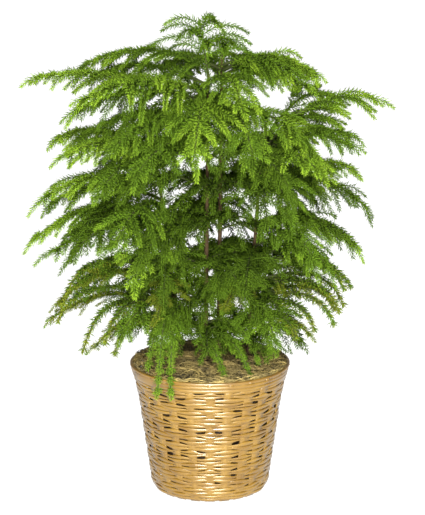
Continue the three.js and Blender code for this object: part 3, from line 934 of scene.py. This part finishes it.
def wandering(random, amount):
    """A slow seeded wave round the basket."""
    turns = random.integers(*WAVE_TURNS, WAVES)
    phases = random.uniform(0, TURN, WAVES)
    sizes = random.uniform(*WAVE_SIZES, WAVES) * amount * WAVE_GAIN / WAVES
    return lambda angle: float(np.sum(sizes * np.sin(turns * angle + phases)))


def stake_wave(size, stakes, turn, angle):
    """A wave round the basket, with a crest at every other stake."""
    return size * math.cos(angle * stakes / 2 + turn)


def row_swing(basket, turn, angle):
    """How far out a row lies: in front of one stake and behind the next."""
    wave = stake_wave(WEAVE_SHARPNESS, basket.stakes, turn, angle)
    return basket.weave_depth * math.tanh(wave) / math.tanh(WEAVE_SHARPNESS)


def row_belly(depths, turn, share, angle):
    """How tall a row is: swollen in front of a stake, and narrow where a slit opens between two."""
    stakes = len(depths)
    place = angle * stakes / TURN - 0.5
    between = round(place)
    slit = depths[between % stakes] * math.exp(-(((place - between) / SLIT_WIDTH) ** SLIT_SQUARENESS))
    return 1 + share * (stake_wave(ROW_BELLY, stakes, turn, angle) - slit)


class PINE_OT_weave(bpy.types.Operator):
    """Weave the rows of reed round the basket's stakes"""

    bl_idname = "pine.weave"
    bl_label = "Weave the basket"

    def execute(self, context):
        basket = context.scene.pine_basket
        random = np.random.default_rng(SEED)
        shape = bmesh.new()
        steps = basket.stakes * STEPS_PER_STAKE
        pitch = (RIM_LOW - FIRST_ROW) / basket.rows
        for row in range(basket.rows):
            middle = FIRST_ROW + pitch * (row + 0.5 + random.uniform(-ROW_JITTER, ROW_JITTER))
            turn = math.pi * (row % 2)
            depths = SLIT_DEPTH * random.uniform(0, 1, basket.stakes) ** SLIT_RARITY
            swing = partial(row_swing, basket, turn)
            belly = partial(row_belly, depths, turn, min(1, row / EVEN_ROWS))
            for strand in (-0.5, 0.5):
                z = middle + strand * basket.strand_height
                radius = basket_radius(z) - STAKE_DEPTH
                section = (basket.strand_thickness, basket.strand_height * random.uniform(*STRAND_HEIGHTS))
                wander = wandering(random, basket.unevenness)
                add_hoop(shape, radius, z, section, steps, wander, swing, belly, middle)
        material = reed_material("woven_reed", basket, ROW_GRAIN)
        place_piece(mesh_of(shape, "basket_weave"), material, ["basket_wall"])
        return {"FINISHED"}


def stake_path(share):
    """Radius and height of a stake's middle line, from under the base to the border."""
    if share < SPOKE_SHARE:
        return mix(SPOKE_INNER, BASE_RADIUS - STAKE_DEPTH, share / SPOKE_SHARE), SPOKE_Z
    z = mix(SPOKE_Z, STAKE_TOP, (share - SPOKE_SHARE) / (1 - SPOKE_SHARE))
    return basket_radius(z) - STAKE_DEPTH, z


def stake_place(stakes, width, lean, across, along):
    """Where a point of a stake lies, before the stake is turned to its own side of the basket."""
    radius, z = stake_path(along + 0.5)
    room = STAKE_ROOM * TURN * radius / stakes
    bow = STAKE_BOW * (1 - abs(2 * across))
    return radius + bow, across * min(width, room) + lean * z, z


class PINE_OT_stakes(bpy.types.Operator):
    """Set out the stakes, which run in under the base as spokes, and weave the base"""

    bl_idname = "pine.stakes"
    bl_label = "Make stakes and base"

    def execute(self, context):
        basket = context.scene.pine_basket
        random = np.random.default_rng(SEED + 1)
        shape = bmesh.new()
        for stake in range(basket.stakes):
            width = basket.stake_width * random.uniform(*STAKE_WIDTHS)
            lean = random.uniform(-STAKE_LEAN, STAKE_LEAN)
            place = partial(stake_place, basket.stakes, width, lean)
            add_strip(shape, STAKE_STEPS, place, TURN * stake / basket.stakes)
        bmesh.ops.recalc_face_normals(shape, faces=shape.faces)
        bmesh.ops.solidify(shape, geom=shape.faces, thickness=STAKE_THICKNESS)
        steps = basket.stakes * BASE_STEPS_PER_STAKE
        for ring in range(BASE_RINGS):
            radius = mix(*BASE_RING_RADII, ring / (BASE_RINGS - 1))
            dip = partial(stake_wave, BASE_RING_DIP, basket.stakes, math.pi * (ring % 2))
            add_hoop(shape, radius, BASE_RING_Z, BASE_RING_SECTION, steps, dip)
        add_profile(shape, BUTTON, BUTTON_STEPS)
        material = reed_material("stake_reed", basket, STAKE_GRAIN)
        place_piece(mesh_of(shape, "basket_stakes"), material)
        return {"FINISHED"}


def splice_place(along, across):
    """Where a point of the border's overlapping end lies: on the other reeds, then sinking into them."""
    share = along + 0.5
    angle = SPLICE_FROM + SPLICE_TURN * share
    z = mix(*SPLICE_Z, across + 0.5)
    rounding = SPLICE_ROUNDING * (2 * across) ** SPLICE_SQUARENESS
    radius = basket_radius(z) + mix(*SPLICE_PROUD, share) - rounding
    return radius * math.cos(angle), radius * math.sin(angle), z


def fold_place(rise, across, along):
    """Where a point of a stake's end lies, folded over the border from outside to inside."""
    arc = math.pi * (along + 0.5)
    radius = BORDER_MIDDLE + FOLD_REACH * math.cos(arc)
    return radius, across * FOLD_WIDTH, FOLD_Z + rise + FOLD_HEIGHT * math.sin(arc)


class PINE_OT_border(bpy.types.Operator):
    """Make the basket's border of stacked reeds, with its splice and the stakes' folded ends"""

    bl_idname = "pine.border"
    bl_label = "Make the border"

    def execute(self, context):
        basket = context.scene.pine_basket
        random = np.random.default_rng(SEED + 2)
        shape = bmesh.new()
        pitch = (BASKET_HEIGHT - RIM_LOW) / BORDER_REEDS
        section = (BORDER_THICKNESS, pitch * BORDER_OVERLAP)
        for inset in (BORDER_OUTER, BORDER_INNER):
            for reed in range(BORDER_REEDS):
                z = RIM_LOW + pitch * (reed + 0.5)
                self.add_reed(shape, basket_radius(z) - inset, z, section, BORDER_SWING, random)
        self.add_reed(shape, BORDER_MIDDLE, TOP_REED_Z, TOP_REED_SECTION, TOP_REED_SWING, random)
        splice = add_strip(shape, SPLICE_STEPS, splice_place)
        bmesh.ops.solidify(shape, geom=splice, thickness=SPLICE_THICKNESS)
        for stake in range(basket.stakes):
            place = partial(fold_place, random.uniform(*FOLD_RISE))
            fold = add_strip(shape, FOLD_STEPS, place, TURN * stake / basket.stakes)
            bmesh.ops.solidify(shape, geom=fold, thickness=FOLD_THICKNESS)
        material = reed_material("border_reed", basket, BORDER_GRAIN, BORDER_SHADE)
        place_piece(mesh_of(shape, "basket_border"), material, ["basket_rim"])
        return {"FINISHED"}

    def add_reed(self, shape, radius, z, section, amount, random):
        """One of the border's reeds, which swings and wanders a little."""
        swing = wandering(random, amount)
        wander = wandering(random, BORDER_WANDER)
        add_hoop(shape, radius, z, section, BORDER_STEPS, wander, swing)


class PINE_OT_pot(bpy.types.Operator):
    """Turn the plastic pot with its rolled lip, and give the soil its finish"""

    bl_idname = "pine.pot"
    bl_label = "Make pot and soil"

    def execute(self, context):
        foot = POT_LOW.z / MM
        top = POT_HIGH.z / MM
        mouth = POT_HIGH.x / MM
        profile = [(0, foot)]
        profile += [(POT_FOOT + out, foot + up) for out, up in POT_HEEL]
        profile += [(mouth + out, top + up) for out, up in POT_LIP]
        profile += [(POT_FOOT - POT_WALL, foot + POT_WALL), (0, foot + POT_WALL)]
        shape = bmesh.new()
        add_profile(shape, profile, POT_STEPS)
        material = pot_material(context.scene.pine_fill.pot_color)
        place_piece(mesh_of(shape, "plastic_pot"), material, ["grow_pot"])
        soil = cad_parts["soil"]
        soil.data.materials.clear()
        soil.data.materials.append(soil_material())
        return {"FINISHED"}


def moss_height(x, y):
    """Height of the mound at a place: high in the middle, low at the edge, with lumps."""
    out = min(1.0, math.hypot(x, y) / MOSS_RADIUS)
    thick = mix(MOSS_EDGE, MOSS_CROWN, 1 - out**MOSS_SHOULDER)
    return MOSS_LOW.z + thick + MOSS_LUMP * noise.noise(Vector((x, y, 0.0)) * MOSS_LUMPS)


def tubes(paths, radii, sides):
    """Points and triangles of closed tubes along paths (n, k, 3), with radii (n, k)."""
    count, rings, _ = paths.shape
    heading = unit(np.gradient(paths, axis=1))
    spare = np.where(np.abs(heading[:, 0, 2:]) > UPRIGHT, BACK, UP)
    side = unit(np.cross(spare, heading[:, 0]))
    angles = TURN * np.arange(sides) / sides
    points = np.empty((count, rings, sides, 3))
    for ring in range(rings):
        along = heading[:, ring]
        side = unit(side - along * np.sum(side * along, axis=1, keepdims=True))
        over = np.cross(along, side)
        around = side[:, None] * np.cos(angles)[:, None] + over[:, None] * np.sin(angles)[:, None]
        points[:, ring] = paths[:, ring, None] + around * radii[:, ring, None, None]
    first = np.arange(rings - 1)[:, None] * sides + np.arange(sides)
    beside = np.arange(rings - 1)[:, None] * sides + (np.arange(sides) + 1) % sides
    lower = np.stack((first, beside, beside + sides), axis=-1).reshape(-1, 3)
    upper = np.stack((first, beside + sides, first + sides), axis=-1).reshape(-1, 3)
    fan = np.arange(1, sides - 1)
    foot = np.stack((np.zeros_like(fan), fan + 1, fan), axis=-1)
    end = np.stack((np.zeros_like(fan), fan, fan + 1), axis=-1) + (rings - 1) * sides
    one = np.concatenate((lower, upper, foot, end))
    corners = one + (np.arange(count) * rings * sides)[:, None, None]
    return points.reshape(-1, 3), corners.reshape(-1, 3)


class PINE_OT_moss(bpy.types.Operator):
    """Heap up the moss: a lumpy mound with curly fibres all over it"""

    bl_idname = "pine.moss"
    bl_label = "Make the moss"

    def execute(self, context):
        fill = context.scene.pine_fill
        self.make_mound(fill)
        self.make_fibres(fill)
        return {"FINISHED"}

    def make_mound(self, fill):
        """The mound, painted dark as shade where it shows between the fibres."""
        shape = bmesh.new()
        low = MOSS_LOW.z / MM
        radius = MOSS_RADIUS / MM
        top = [(radius * ring / MOUND_RINGS, low + MOSS_EDGE / MM) for ring in range(MOUND_RINGS, -1, -1)]
        add_profile(shape, [(0, low), (radius - MOUND_INSET / MM, low), *top], MOUND_STEPS)
        for vertex in shape.verts:
            if vertex.co.z > MOSS_LOW.z + MOSS_EDGE / 2:
                tuft = MOSS_TUFT * noise.noise(vertex.co * MOSS_TUFTS)
                vertex.co.z = moss_height(vertex.co.x, vertex.co.y) - MOUND_DEPTH + tuft
        # Painted shade: the mound's palest colour is the fibres' colour much darkened, so the gaps between
        # fibres look shaded.
        light = tuple(value * MOUND_PAINTED_SHADE for value in fill.moss_light)
        material = fibre_material("moss_mat", light, fill.moss_dark, MOUND_GRAIN, Roughness=MOUND_ROUGHNESS)
        place_piece(mesh_of(shape, "moss_mound"), material, ["moss"])

    def make_fibres(self, fill):
        """The fibres, which lie in curls on the mound and spill over the border's inner edge."""
        random = np.random.default_rng(SEED + 3)
        count = fill.fibres
        out = FIBRE_RADIUS * np.sqrt(random.uniform(0, FIBRE_FILL, count))
        around = random.uniform(0, TURN, count)
        step = fill.fibre_length / (FIBRE_POINTS - 1) * random.uniform(*FIBRE_LENGTHS, count)
        heading = random.uniform(0, TURN, count)
        curl = random.normal(0, FIBRE_CURL, count)
        loft = random.uniform(*FIBRE_LOFT, count)
        wave = random.uniform(0, TURN, count)
        x = out * np.cos(around)
        y = out * np.sin(around)
        paths = np.empty((count, FIBRE_POINTS, 3))
        for point in range(FIBRE_POINTS):
            outside = np.maximum(1.0, np.hypot(x, y) / FIBRE_RADIUS)
            x = x / outside
            y = y / outside
            lift = loft + FIBRE_WAVE * np.sin(wave + FIBRE_WAVE_TURN * point)
            height = np.array([moss_height(*place) for place in zip(x, y)]) + lift
            spilt = np.hypot(x, y) > SPILL_RADIUS
            height = np.where(spilt, np.maximum(height, BASKET_HEIGHT), height)
            paths[:, point] = np.stack((x, y, height), axis=-1)
            heading = heading + curl + random.normal(0, FIBRE_STRAY, count)
            x = x + step * np.cos(heading)
            y = y + step * np.sin(heading)
        radii = fill.fibre_radius * random.uniform(*FIBRE_RADII, (count, 1)) * np.ones((1, FIBRE_POINTS))
        mesh = mesh_from_arrays("moss_fibres", *tubes(paths, radii, FIBRE_SIDES))
        tone = {"light": fill.moss_light, "dark": fill.moss_dark, "grain": FIBRE_GRAIN}
        place_piece(mesh, fibre_material("moss_fibre", **tone, Roughness=FIBRE_ROUGHNESS))


def curve_points(curves, shares):
    """Points on quadratic curves (..., 3, 3), at shares of the way along."""
    s = np.asarray(shares)[..., None]
    return curves[..., 0, :] * (1 - s) ** 2 + curves[..., 1, :] * 2 * s * (1 - s) + curves[..., 2, :] * s * s


def curve_headings(curves, shares):
    """The way that quadratic curves head, at shares of the way along."""
    s = np.asarray(shares)[..., None]
    first = curves[..., 1, :] - curves[..., 0, :]
    second = curves[..., 2, :] - curves[..., 1, :]
    return unit(first * (1 - s) + second * s)


def curve_lengths(curves):
    """Lengths of quadratic curves (n, 3, 3)."""
    points = curve_points(curves[:, None], np.linspace(0, 1, CURVE_SAMPLES))
    return np.linalg.norm(np.diff(points, axis=1), axis=-1).sum(axis=1)


def rest_of_curve(curve, share):
    """The part of a quadratic curve past this share."""
    return np.array((curve_points(curve, share), mix(curve[1], curve[2], share), curve[2]))


def stem_curve(name):
    """A stem's line from its flat cut on the soil to its tip."""
    foot, tip, top = STEMS[name]
    start = np.array((foot[0] * MM, foot[1] * MM, GROUND))
    end = np.array((*tip, top)) * MM
    middle = mix(start, end, LEAN_SHARE)
    middle[2] = (start[2] + end[2]) / 2
    return np.array((start, middle, end))


def stem_radius(share):
    """A stem's radius: an even taper, and a flare at the root."""
    return mix(STEM_RADIUS, STEM_TIP, share) + ROOT_FLARE * np.exp(-share / FLARE_SHARE)


def bough_curve(row, bend=CONTROL_SHARE):
    """A bough's line from inside its stem, up over its arch, and down to its tip."""
    name, height, azimuth, reach, lift, fall = row
    stem = stem_curve(name)
    axis = curve_points(stem, (height * MM - GROUND) / (stem[2, 2] - GROUND))
    out = np.array((math.cos(math.radians(azimuth)), math.sin(math.radians(azimuth)), 0.0))
    arch = axis + (out * reach * bend + UP * lift) * MM
    return np.array((axis, arch, axis + (out * reach + UP * fall) * MM))


def in_opening(curve):
    """Whether the outer half of a bough would hang in one of the crown's openings."""
    points = curve_points(curve, OUTER_HALF) / MM
    return any(np.any(np.all((points > low) & (points < high), axis=1)) for low, high in OPENINGS)


def inner_rows(random):
    """Rows for the shorter boughs inside the crown, whorl by whorl up each stem."""
    rows = []
    for name, (_, _, top) in STEMS.items():
        heights = np.arange(INNER_LOWEST, top - INNER_BELOW_TOP, INNER_LEVEL)
        for whorl, height in enumerate(heights):
            for place in range(INNER_PER_LEVEL):
                even = math.degrees(whorl * SPIRAL + TURN * place / INNER_PER_LEVEL)
                azimuth = even + random.uniform(-INNER_TURN, INNER_TURN)
                grown = min(1.0, (height - INNER_LOWEST) / (INNER_FULL_HEIGHT - INNER_LOWEST))
                reach = mix(*INNER_REACH, grown) * random.uniform(*INNER_REACH_SHARES)
                rise = height + random.uniform(-INNER_RISE, INNER_RISE)
                row = (name, rise, azimuth, reach, reach * INNER_LIFT, reach * INNER_FALL)
                if not in_opening(bough_curve(row)):
                    rows.append(row)
    return rows


def branchlets(curve, kind, spacing, random):
    """One bough's branchlets: opposite pairs that hang at their tips, and one more to carry on the bough.

    Curves (n, 3, 3), and the place of each from 0 at the first pair to 1 at the tip."""
    length = curve_lengths(curve[None])[0]
    pairs = max(FEWEST_PAIRS, round(length * (1 - kind.bare) / (spacing * kind.spacing)))
    place = np.append(np.repeat((np.arange(pairs) + 0.5) / pairs, 2), 1.0)
    count = len(place)
    side = np.append(np.tile((1.0, -1.0), pairs), 1.0)[:, None]
    shares = mix(kind.bare, 1.0, place)
    angle = kind.spread * mix(SPRAY_ANGLE_INNER, SPRAY_ANGLE_OUTER, place)
    full = mix(TIP_SHARE, 1.0, np.sin(math.pi * np.minimum(1, SPRAY_FULLEST + place)))
    shares[-1] = TIP_ROOT
    angle[-1] = 0.0
    full[-1] = TIP_SPRAY
    root = curve_points(curve, shares)
    along = curve_headings(curve, shares)
    across = unit(np.cross(UP, along)) * side
    angle = angle + random.normal(0, kind.ruffle, count)
    heading = along * np.cos(angle)[:, None] + across * np.sin(angle)[:, None]
    heading = unit(heading + UP * random.normal(0, kind.ruffle, (count, 1)))
    grown = mix(SPRAY_SHORT, 1.0, min(1.0, length / SPRAY_FULL_BOUGH))
    varied = random.uniform(1 - SPRAY_VARIATION, 1 + SPRAY_VARIATION, count)
    reach = (SPRAY_LENGTH * kind.length * grown * full * varied)[:, None]
    bend = root + heading * reach * SPRAY_BEND + UP * reach * SPRAY_RISE
    droop = kind.droop * random.normal(1, DROOP_SPREAD, (count, 1))
    tip = root + heading * reach * SPRAY_SPAN - UP * reach * droop
    return np.stack((root, bend, tip), axis=1), place


def tuft_curves(name, random):
    """A leader's line, and the curves of the sprays in a whorl up it."""
    height, lean, reach, count, droop = TOPS[name]
    foot = stem_curve(name)[2]
    tip = foot + np.array((*lean, height)) * MM
    leader = np.array((foot, (foot + tip) / 2, tip))
    share = np.arange(count) / (count - 1)
    root = curve_points(leader, mix(LEADER_FIRST, LEADER_LAST, share))
    turn = np.arange(count) * SPIRAL
    out = np.stack((np.cos(turn), np.sin(turn) * LEADER_DEPTH, np.zeros(count)), axis=-1)
    varied = random.uniform(1 - SPRAY_VARIATION, 1 + SPRAY_VARIATION, count)
    length = (reach * MM * mix(1.0, LEADER_TAPER, share) * varied)[:, None]
    bend = root + out * length * SPRAY_BEND + UP * length * LEADER_RISE
    end = root + out * length - UP * length * droop
    return leader, np.stack((root, bend, end), axis=1)


def grow(spacing):
    """The whole plant: boughs as (name of their kind, curve), and branchlets' curves, kinds and how pale their
    green is, partly from growth and partly as painted light.
    """
    random = np.random.default_rng(SEED + 4)
    rows = [(name, row) for name, table in BOUGHS.items() for row in table]
    rows += [("inner", row) for row in inner_rows(random)]
    boughs = [(name, bough_curve(row, KINDS[name].arch)) for name, row in rows]
    curves = []
    places = []
    kinds = []
    for name, curve in boughs:
        kind = KINDS[name]
        grown, place = branchlets(curve, kind, spacing, random)
        curves += [grown, rest_of_curve(curve, kind.bare)[None]]
        places += [place, (AXIS_PLACE,)]
        kinds += [kind] * (len(place) + 1)
    for stem in TOPS:
        leader, sprays = tuft_curves(stem, random)
        boughs.append(("top", leader))
        curves += [sprays, leader[None], rest_of_curve(stem_curve(stem), LEAFY_STEM)[None]]
        places.append(np.linspace(0, 1, len(sprays) + 2))
        kinds += [KINDS["top"]] * (len(sprays) + 2)
    # Paler outwards along each bough: partly new growth, partly painted light.
    growth_and_light = np.array([kind.growth_and_light for kind in kinds]) + GROWTH_AND_LIGHT_OUTWARDS * np.concatenate(places)
    growth_and_light += random.normal(0, GROWTH_AND_LIGHT_SPREAD, len(growth_and_light))
    return boughs, np.concatenate(curves), kinds, growth_and_light


def add_limb(shape, curve, radius, sides, steps, rough):
    """A tapering limb with the relief of its bark: a grid rolled up along a curve, and closed at its ends."""
    limb = bmesh.new()
    sheet = bmesh.ops.create_grid(limb, x_segments=sides, y_segments=steps, size=0.5)["verts"]
    flat = np.array([vertex.co for vertex in sheet])
    angle = (TURN * flat[:, 0])[:, None]
    share = flat[:, 1] + 0.5
    along = curve_headings(curve, share)
    spare = np.where(np.abs(along[:, 2:]) > UPRIGHT, BACK, UP)
    side = unit(np.cross(spare, along))
    around = side * np.cos(angle) + np.cross(along, side) * np.sin(angle)
    axis = curve_points(curve, share)
    length = curve_lengths(curve[None])[0]
    scars = SCAR_RELIEF * np.maximum(0, np.cos(TURN * share * length / SCAR_SPACING)) ** SCAR_SHARPNESS
    for i, vertex in enumerate(sheet):
        plates = BARK_PLATE_RELIEF * noise.noise(Vector(axis[i] + around[i] * STEM_RADIUS) * BARK_PLATES)
        vertex.co = axis[i] + around[i] * (radius(share[i]) + rough * (plates + scars[i]))
    bmesh.ops.remove_doubles(limb, verts=limb.verts, dist=LIMB_WELD)
    bmesh.ops.holes_fill(limb, edges=[edge for edge in limb.edges if edge.is_boundary], sides=0)
    join(shape, limb)


class PINE_OT_stems(bpy.types.Operator):
    """Grow the four stems, with bark relief and a flare at the root"""

    bl_idname = "pine.stems"
    bl_label = "Grow the stems"

    def execute(self, context):
        plant = context.scene.pine_plant
        material = bark_material("stem_bark", plant.bark_light, plant.bark_dark)
        for name in STEMS:
            shape = bmesh.new()
            add_limb(shape, stem_curve(name), stem_radius, STEM_SIDES, STEM_STEPS, rough=1.0)
            place_piece(mesh_of(shape, f"stem_{name}_bark"), material, [f"stem_{name}"])
        return {"FINISHED"}


class PINE_OT_boughs(bpy.types.Operator):
    """Grow the boughs from inside the stems, and the branchlets' twigs"""

    bl_idname = "pine.boughs"
    bl_label = "Grow boughs and twigs"

    def execute(self, context):
        plant = context.scene.pine_plant
        boughs, curves, *_ = grow(plant.branchlet_spacing)
        shape = bmesh.new()
        for name, curve in boughs:
            girth = THIN_WOOD if name in ("inner", "top") else 1.0
            sides = INNER_SIDES if name == "inner" else BOUGH_SIDES
            radius = partial(mix, girth * BOUGH_RADIUS, girth * BOUGH_TIP)
            add_limb(shape, curve, radius, sides, BOUGH_STEPS, YOUNG_BARK)
        wood = bark_material("bough_bark", plant.bough_light, plant.bough_dark)
        place_piece(mesh_of(shape, "bough_wood"), wood, nodes_named("bough_"))
        shares = np.linspace(0, 1, TWIG_POINTS)
        paths = curve_points(curves[:, None], shares)
        radii = plant.branchlet_radius * mix(1.0, TWIG_TIP, shares) * np.ones((len(curves), 1))
        mesh = mesh_from_arrays("twigs", *tubes(paths, radii, TWIG_SIDES))
        place_piece(mesh, bark_material("twig_bark", plant.leaf, plant.deep))
        return {"FINISHED"}


class PINE_OT_needles(bpy.types.Operator):
    """Set needles in a spiral along every branchlet, in tints that are dealt out by branchlet"""

    bl_idname = "pine.needles"
    bl_label = "Grow the needles"

    def execute(self, context):
        plant = context.scene.pine_plant
        _, curves, kinds, growth_and_light = grow(plant.branchlet_spacing)
        crowding = np.array([kind.needles for kind in kinds])
        sizes = np.array([kind.needle_size for kind in kinds])
        palettes = np.array([[TINTS.index(tint) for tint in kind.tints] for kind in kinds])
        random = np.random.default_rng(SEED + 5)
        counts = np.ceil(curve_lengths(curves) * crowding * plant.needles_per_metre).astype(int)
        owner = np.repeat(np.arange(len(curves)), counts)
        order = np.arange(len(owner)) - np.repeat(np.cumsum(counts) - counts, counts)
        share = 1 - (1 - (order + random.uniform(0, 1, len(owner))) / counts[owner]) ** NEEDLE_CROWDING
        turn = order * SPIRAL + random.uniform(0, TURN, len(curves))[owner]
        turn = turn - NEEDLE_COMB * np.sin(2 * turn)
        points = self.needle_points(plant, curves[owner], sizes[owner], share, turn, random)
        # Tints by branchlet: darker inside the crown and paler outside, partly from growth and partly as
        # painted shade and painted light.
        grades = palettes.shape[1] - 1
        grade = np.clip(np.floor(growth_and_light * grades), 0, grades - 1).astype(int)
        newest = share > FRESH_SHARE + random.normal(0, FRESH_SPREAD, len(share))
        tint = palettes[owner, grade[owner] + newest]
        for number, name in enumerate(TINTS):
            material = needle_material(f"needle_{name}", getattr(plant, name))
            chosen = points[tint == number]
            pieces = math.ceil(len(chosen) / NEEDLES_PER_PIECE)
            for piece, part in enumerate(np.array_split(chosen, pieces)):
                corners = NEEDLE_CORNERS + NEEDLE_POINTS * np.arange(len(part))[:, None, None]
                title = f"needles_{name}_{piece + 1}"
                mesh = mesh_from_arrays(title, part.reshape(-1, 3), corners.reshape(-1, 3))
                place_piece(mesh, material, nodes_named("foliage_"))
        return {"FINISHED"}

    def needle_points(self, plant, curves, size, share, turn, random):
        """Root, two wide corners and tip of every needle: (n, 4, 3)."""
        root = curve_points(curves, share)
        along = curve_headings(curves, share)
        side = unit(np.cross(UP, along) + NEEDLE_NUDGE)
        over = np.cross(along, side)
        radial = side * np.cos(turn)[:, None] + over * np.sin(turn)[:, None]
        lean = mix(*NEEDLE_ANGLES, share**NEEDLE_ANGLE_EASE)
        lean = (lean + random.normal(0, NEEDLE_ANGLE_SPREAD, len(share)))[:, None]
        heading = along * np.cos(lean) + radial * np.sin(lean)
        outer = radial * np.cos(lean) - along * np.sin(lean)
        wide = np.cross(heading, outer) * (size * plant.needle_width / 2)[:, None]
        past = np.clip((share - NEEDLE_FULL_SHARE) / (1 - NEEDLE_FULL_SHARE), 0, 1)
        varied = random.uniform(*NEEDLE_LENGTHS, len(share))
        length = (size * plant.needle_length * varied * (1 - NEEDLE_SHORTER * past))[:, None]
        widest = root + heading * length * NEEDLE_WIDEST + outer * length * NEEDLE_BOW
        return np.stack((root, widest + wide, widest - wide, root + heading * length), axis=1)


class PINE_OT_stage(bpy.types.Operator):
    """Lay the floor, set the lights and place the camera"""

    bl_idname = "pine.stage"
    bl_label = "Set the stage"

    def execute(self, context):
        stage = context.scene.pine_stage
        shape = bmesh.new()
        bmesh.ops.create_grid(shape, x_segments=1, y_segments=1, size=FLOOR_HALF)
        bmesh.ops.translate(shape, verts=shape.verts, vec=(0, 0, FLOOR_Z))
        mesh = mesh_of(shape, "floor")
        color = opaque(stage.floor_color)
        paint = {"Base_Color": color, "Emission_Color": color, "Emission_Strength": stage.floor_glow}
        material, _, _ = new_material("floor_paint", Roughness=FLOOR_ROUGHNESS, **paint)
        mesh.materials.append(material)
        floor = bpy.data.objects.new("floor", mesh)
        context.scene.collection.objects.link(floor)
        self.set_lights(context.scene, stage)
        self.set_camera(context.scene)
        context.scene.view_settings.view_transform = "Standard"
        return {"FINISHED"}

    def set_lights(self, scene, stage):
        """White light all round, an even light from above and two softboxes in front."""
        world = bpy.data.worlds.new("studio")
        world.use_nodes = True
        background = world.node_tree.nodes["Background"].inputs
        background["Color"].default_value = WHITE
        background["Strength"].default_value = stage.ambient
        scene.world = world
        overhead = bpy.data.lights.new("overhead", "SUN")
        overhead.energy = stage.sky
        overhead.angle = OVERHEAD_ANGLE
        self.add_light(scene, overhead, OVERHEAD_PLACE)
        for name, power, size, place in (
            ("softbox", stage.key, SOFTBOX_SIZE, SOFTBOX_PLACE),
            ("low_softbox", stage.low_key, LOW_SOFTBOX_SIZE, LOW_SOFTBOX_PLACE),
        ):
            box = bpy.data.lights.new(name, "AREA")
            box.energy = power
            box.shape = "RECTANGLE"
            box.size, box.size_y = size
            self.add_light(scene, box, place)

    def add_light(self, scene, light, place):
        """A light at a place, turned to the middle of the plant."""
        lamp = bpy.data.objects.new(light.name, light)
        lamp.location = place
        lamp.rotation_euler = (LIGHT_AIM - lamp.location).to_track_quat("-Z", "Y").to_euler()
        lamp.visible_camera = False
        scene.collection.objects.link(lamp)

    def set_camera(self, scene):
        """The camera, which looks a little down on the plant."""
        lens = bpy.data.cameras.new("camera")
        lens.lens = CAMERA_LENS
        lens.sensor_width = CAMERA_SENSOR
        camera = bpy.data.objects.new("camera", lens)
        camera.location = CAMERA_PLACE
        camera.rotation_euler = (math.pi / 2 - CAMERA_PITCH, 0, 0)
        scene.collection.objects.link(camera)
        scene.camera = camera


OPERATORS = (
    PINE_OT_stage,
    PINE_OT_stakes,
    PINE_OT_weave,
    PINE_OT_border,
    PINE_OT_pot,
    PINE_OT_moss,
    PINE_OT_stems,
    PINE_OT_boughs,
    PINE_OT_needles,
)


class PINE_PT_panel(bpy.types.Panel):
    """The pine's pieces and their settings"""

    bl_idname = "PINE_PT_panel"
    bl_label = "Potted pine"
    bl_space_type = "VIEW_3D"
    bl_region_type = "UI"
    bl_category = "Pine"

    def draw(self, context):
        for operator in OPERATORS:
            self.layout.operator(operator.bl_idname)
        for name, settings in SETTINGS.items():
            box = self.layout.box()
            for prop in settings.__annotations__:
                box.prop(getattr(context.scene, name), prop)


CLASSES = (*SETTINGS.values(), *OPERATORS, PINE_PT_panel)


def register():
    """Registers the classes, and hangs the settings on the scene."""
    for item in CLASSES:
        bpy.utils.register_class(item)
    for name, settings in SETTINGS.items():
        setattr(bpy.types.Scene, name, bpy.props.PointerProperty(type=settings))


def unregister():
    """Takes the settings and classes away again."""
    for name in SETTINGS:
        delattr(bpy.types.Scene, name)
    for item in reversed(CLASSES):
        bpy.utils.unregister_class(item)


def main():
    """Builds every piece in order."""
    register()
    bpy.ops.pine.stage()
    bpy.ops.pine.stakes()
    bpy.ops.pine.weave()
    bpy.ops.pine.border()
    bpy.ops.pine.pot()
    bpy.ops.pine.moss()
    bpy.ops.pine.stems()
    bpy.ops.pine.boughs()
    bpy.ops.pine.needles()
    bpy.context.view_layer.update()


if __name__ == "__main__":
    main()
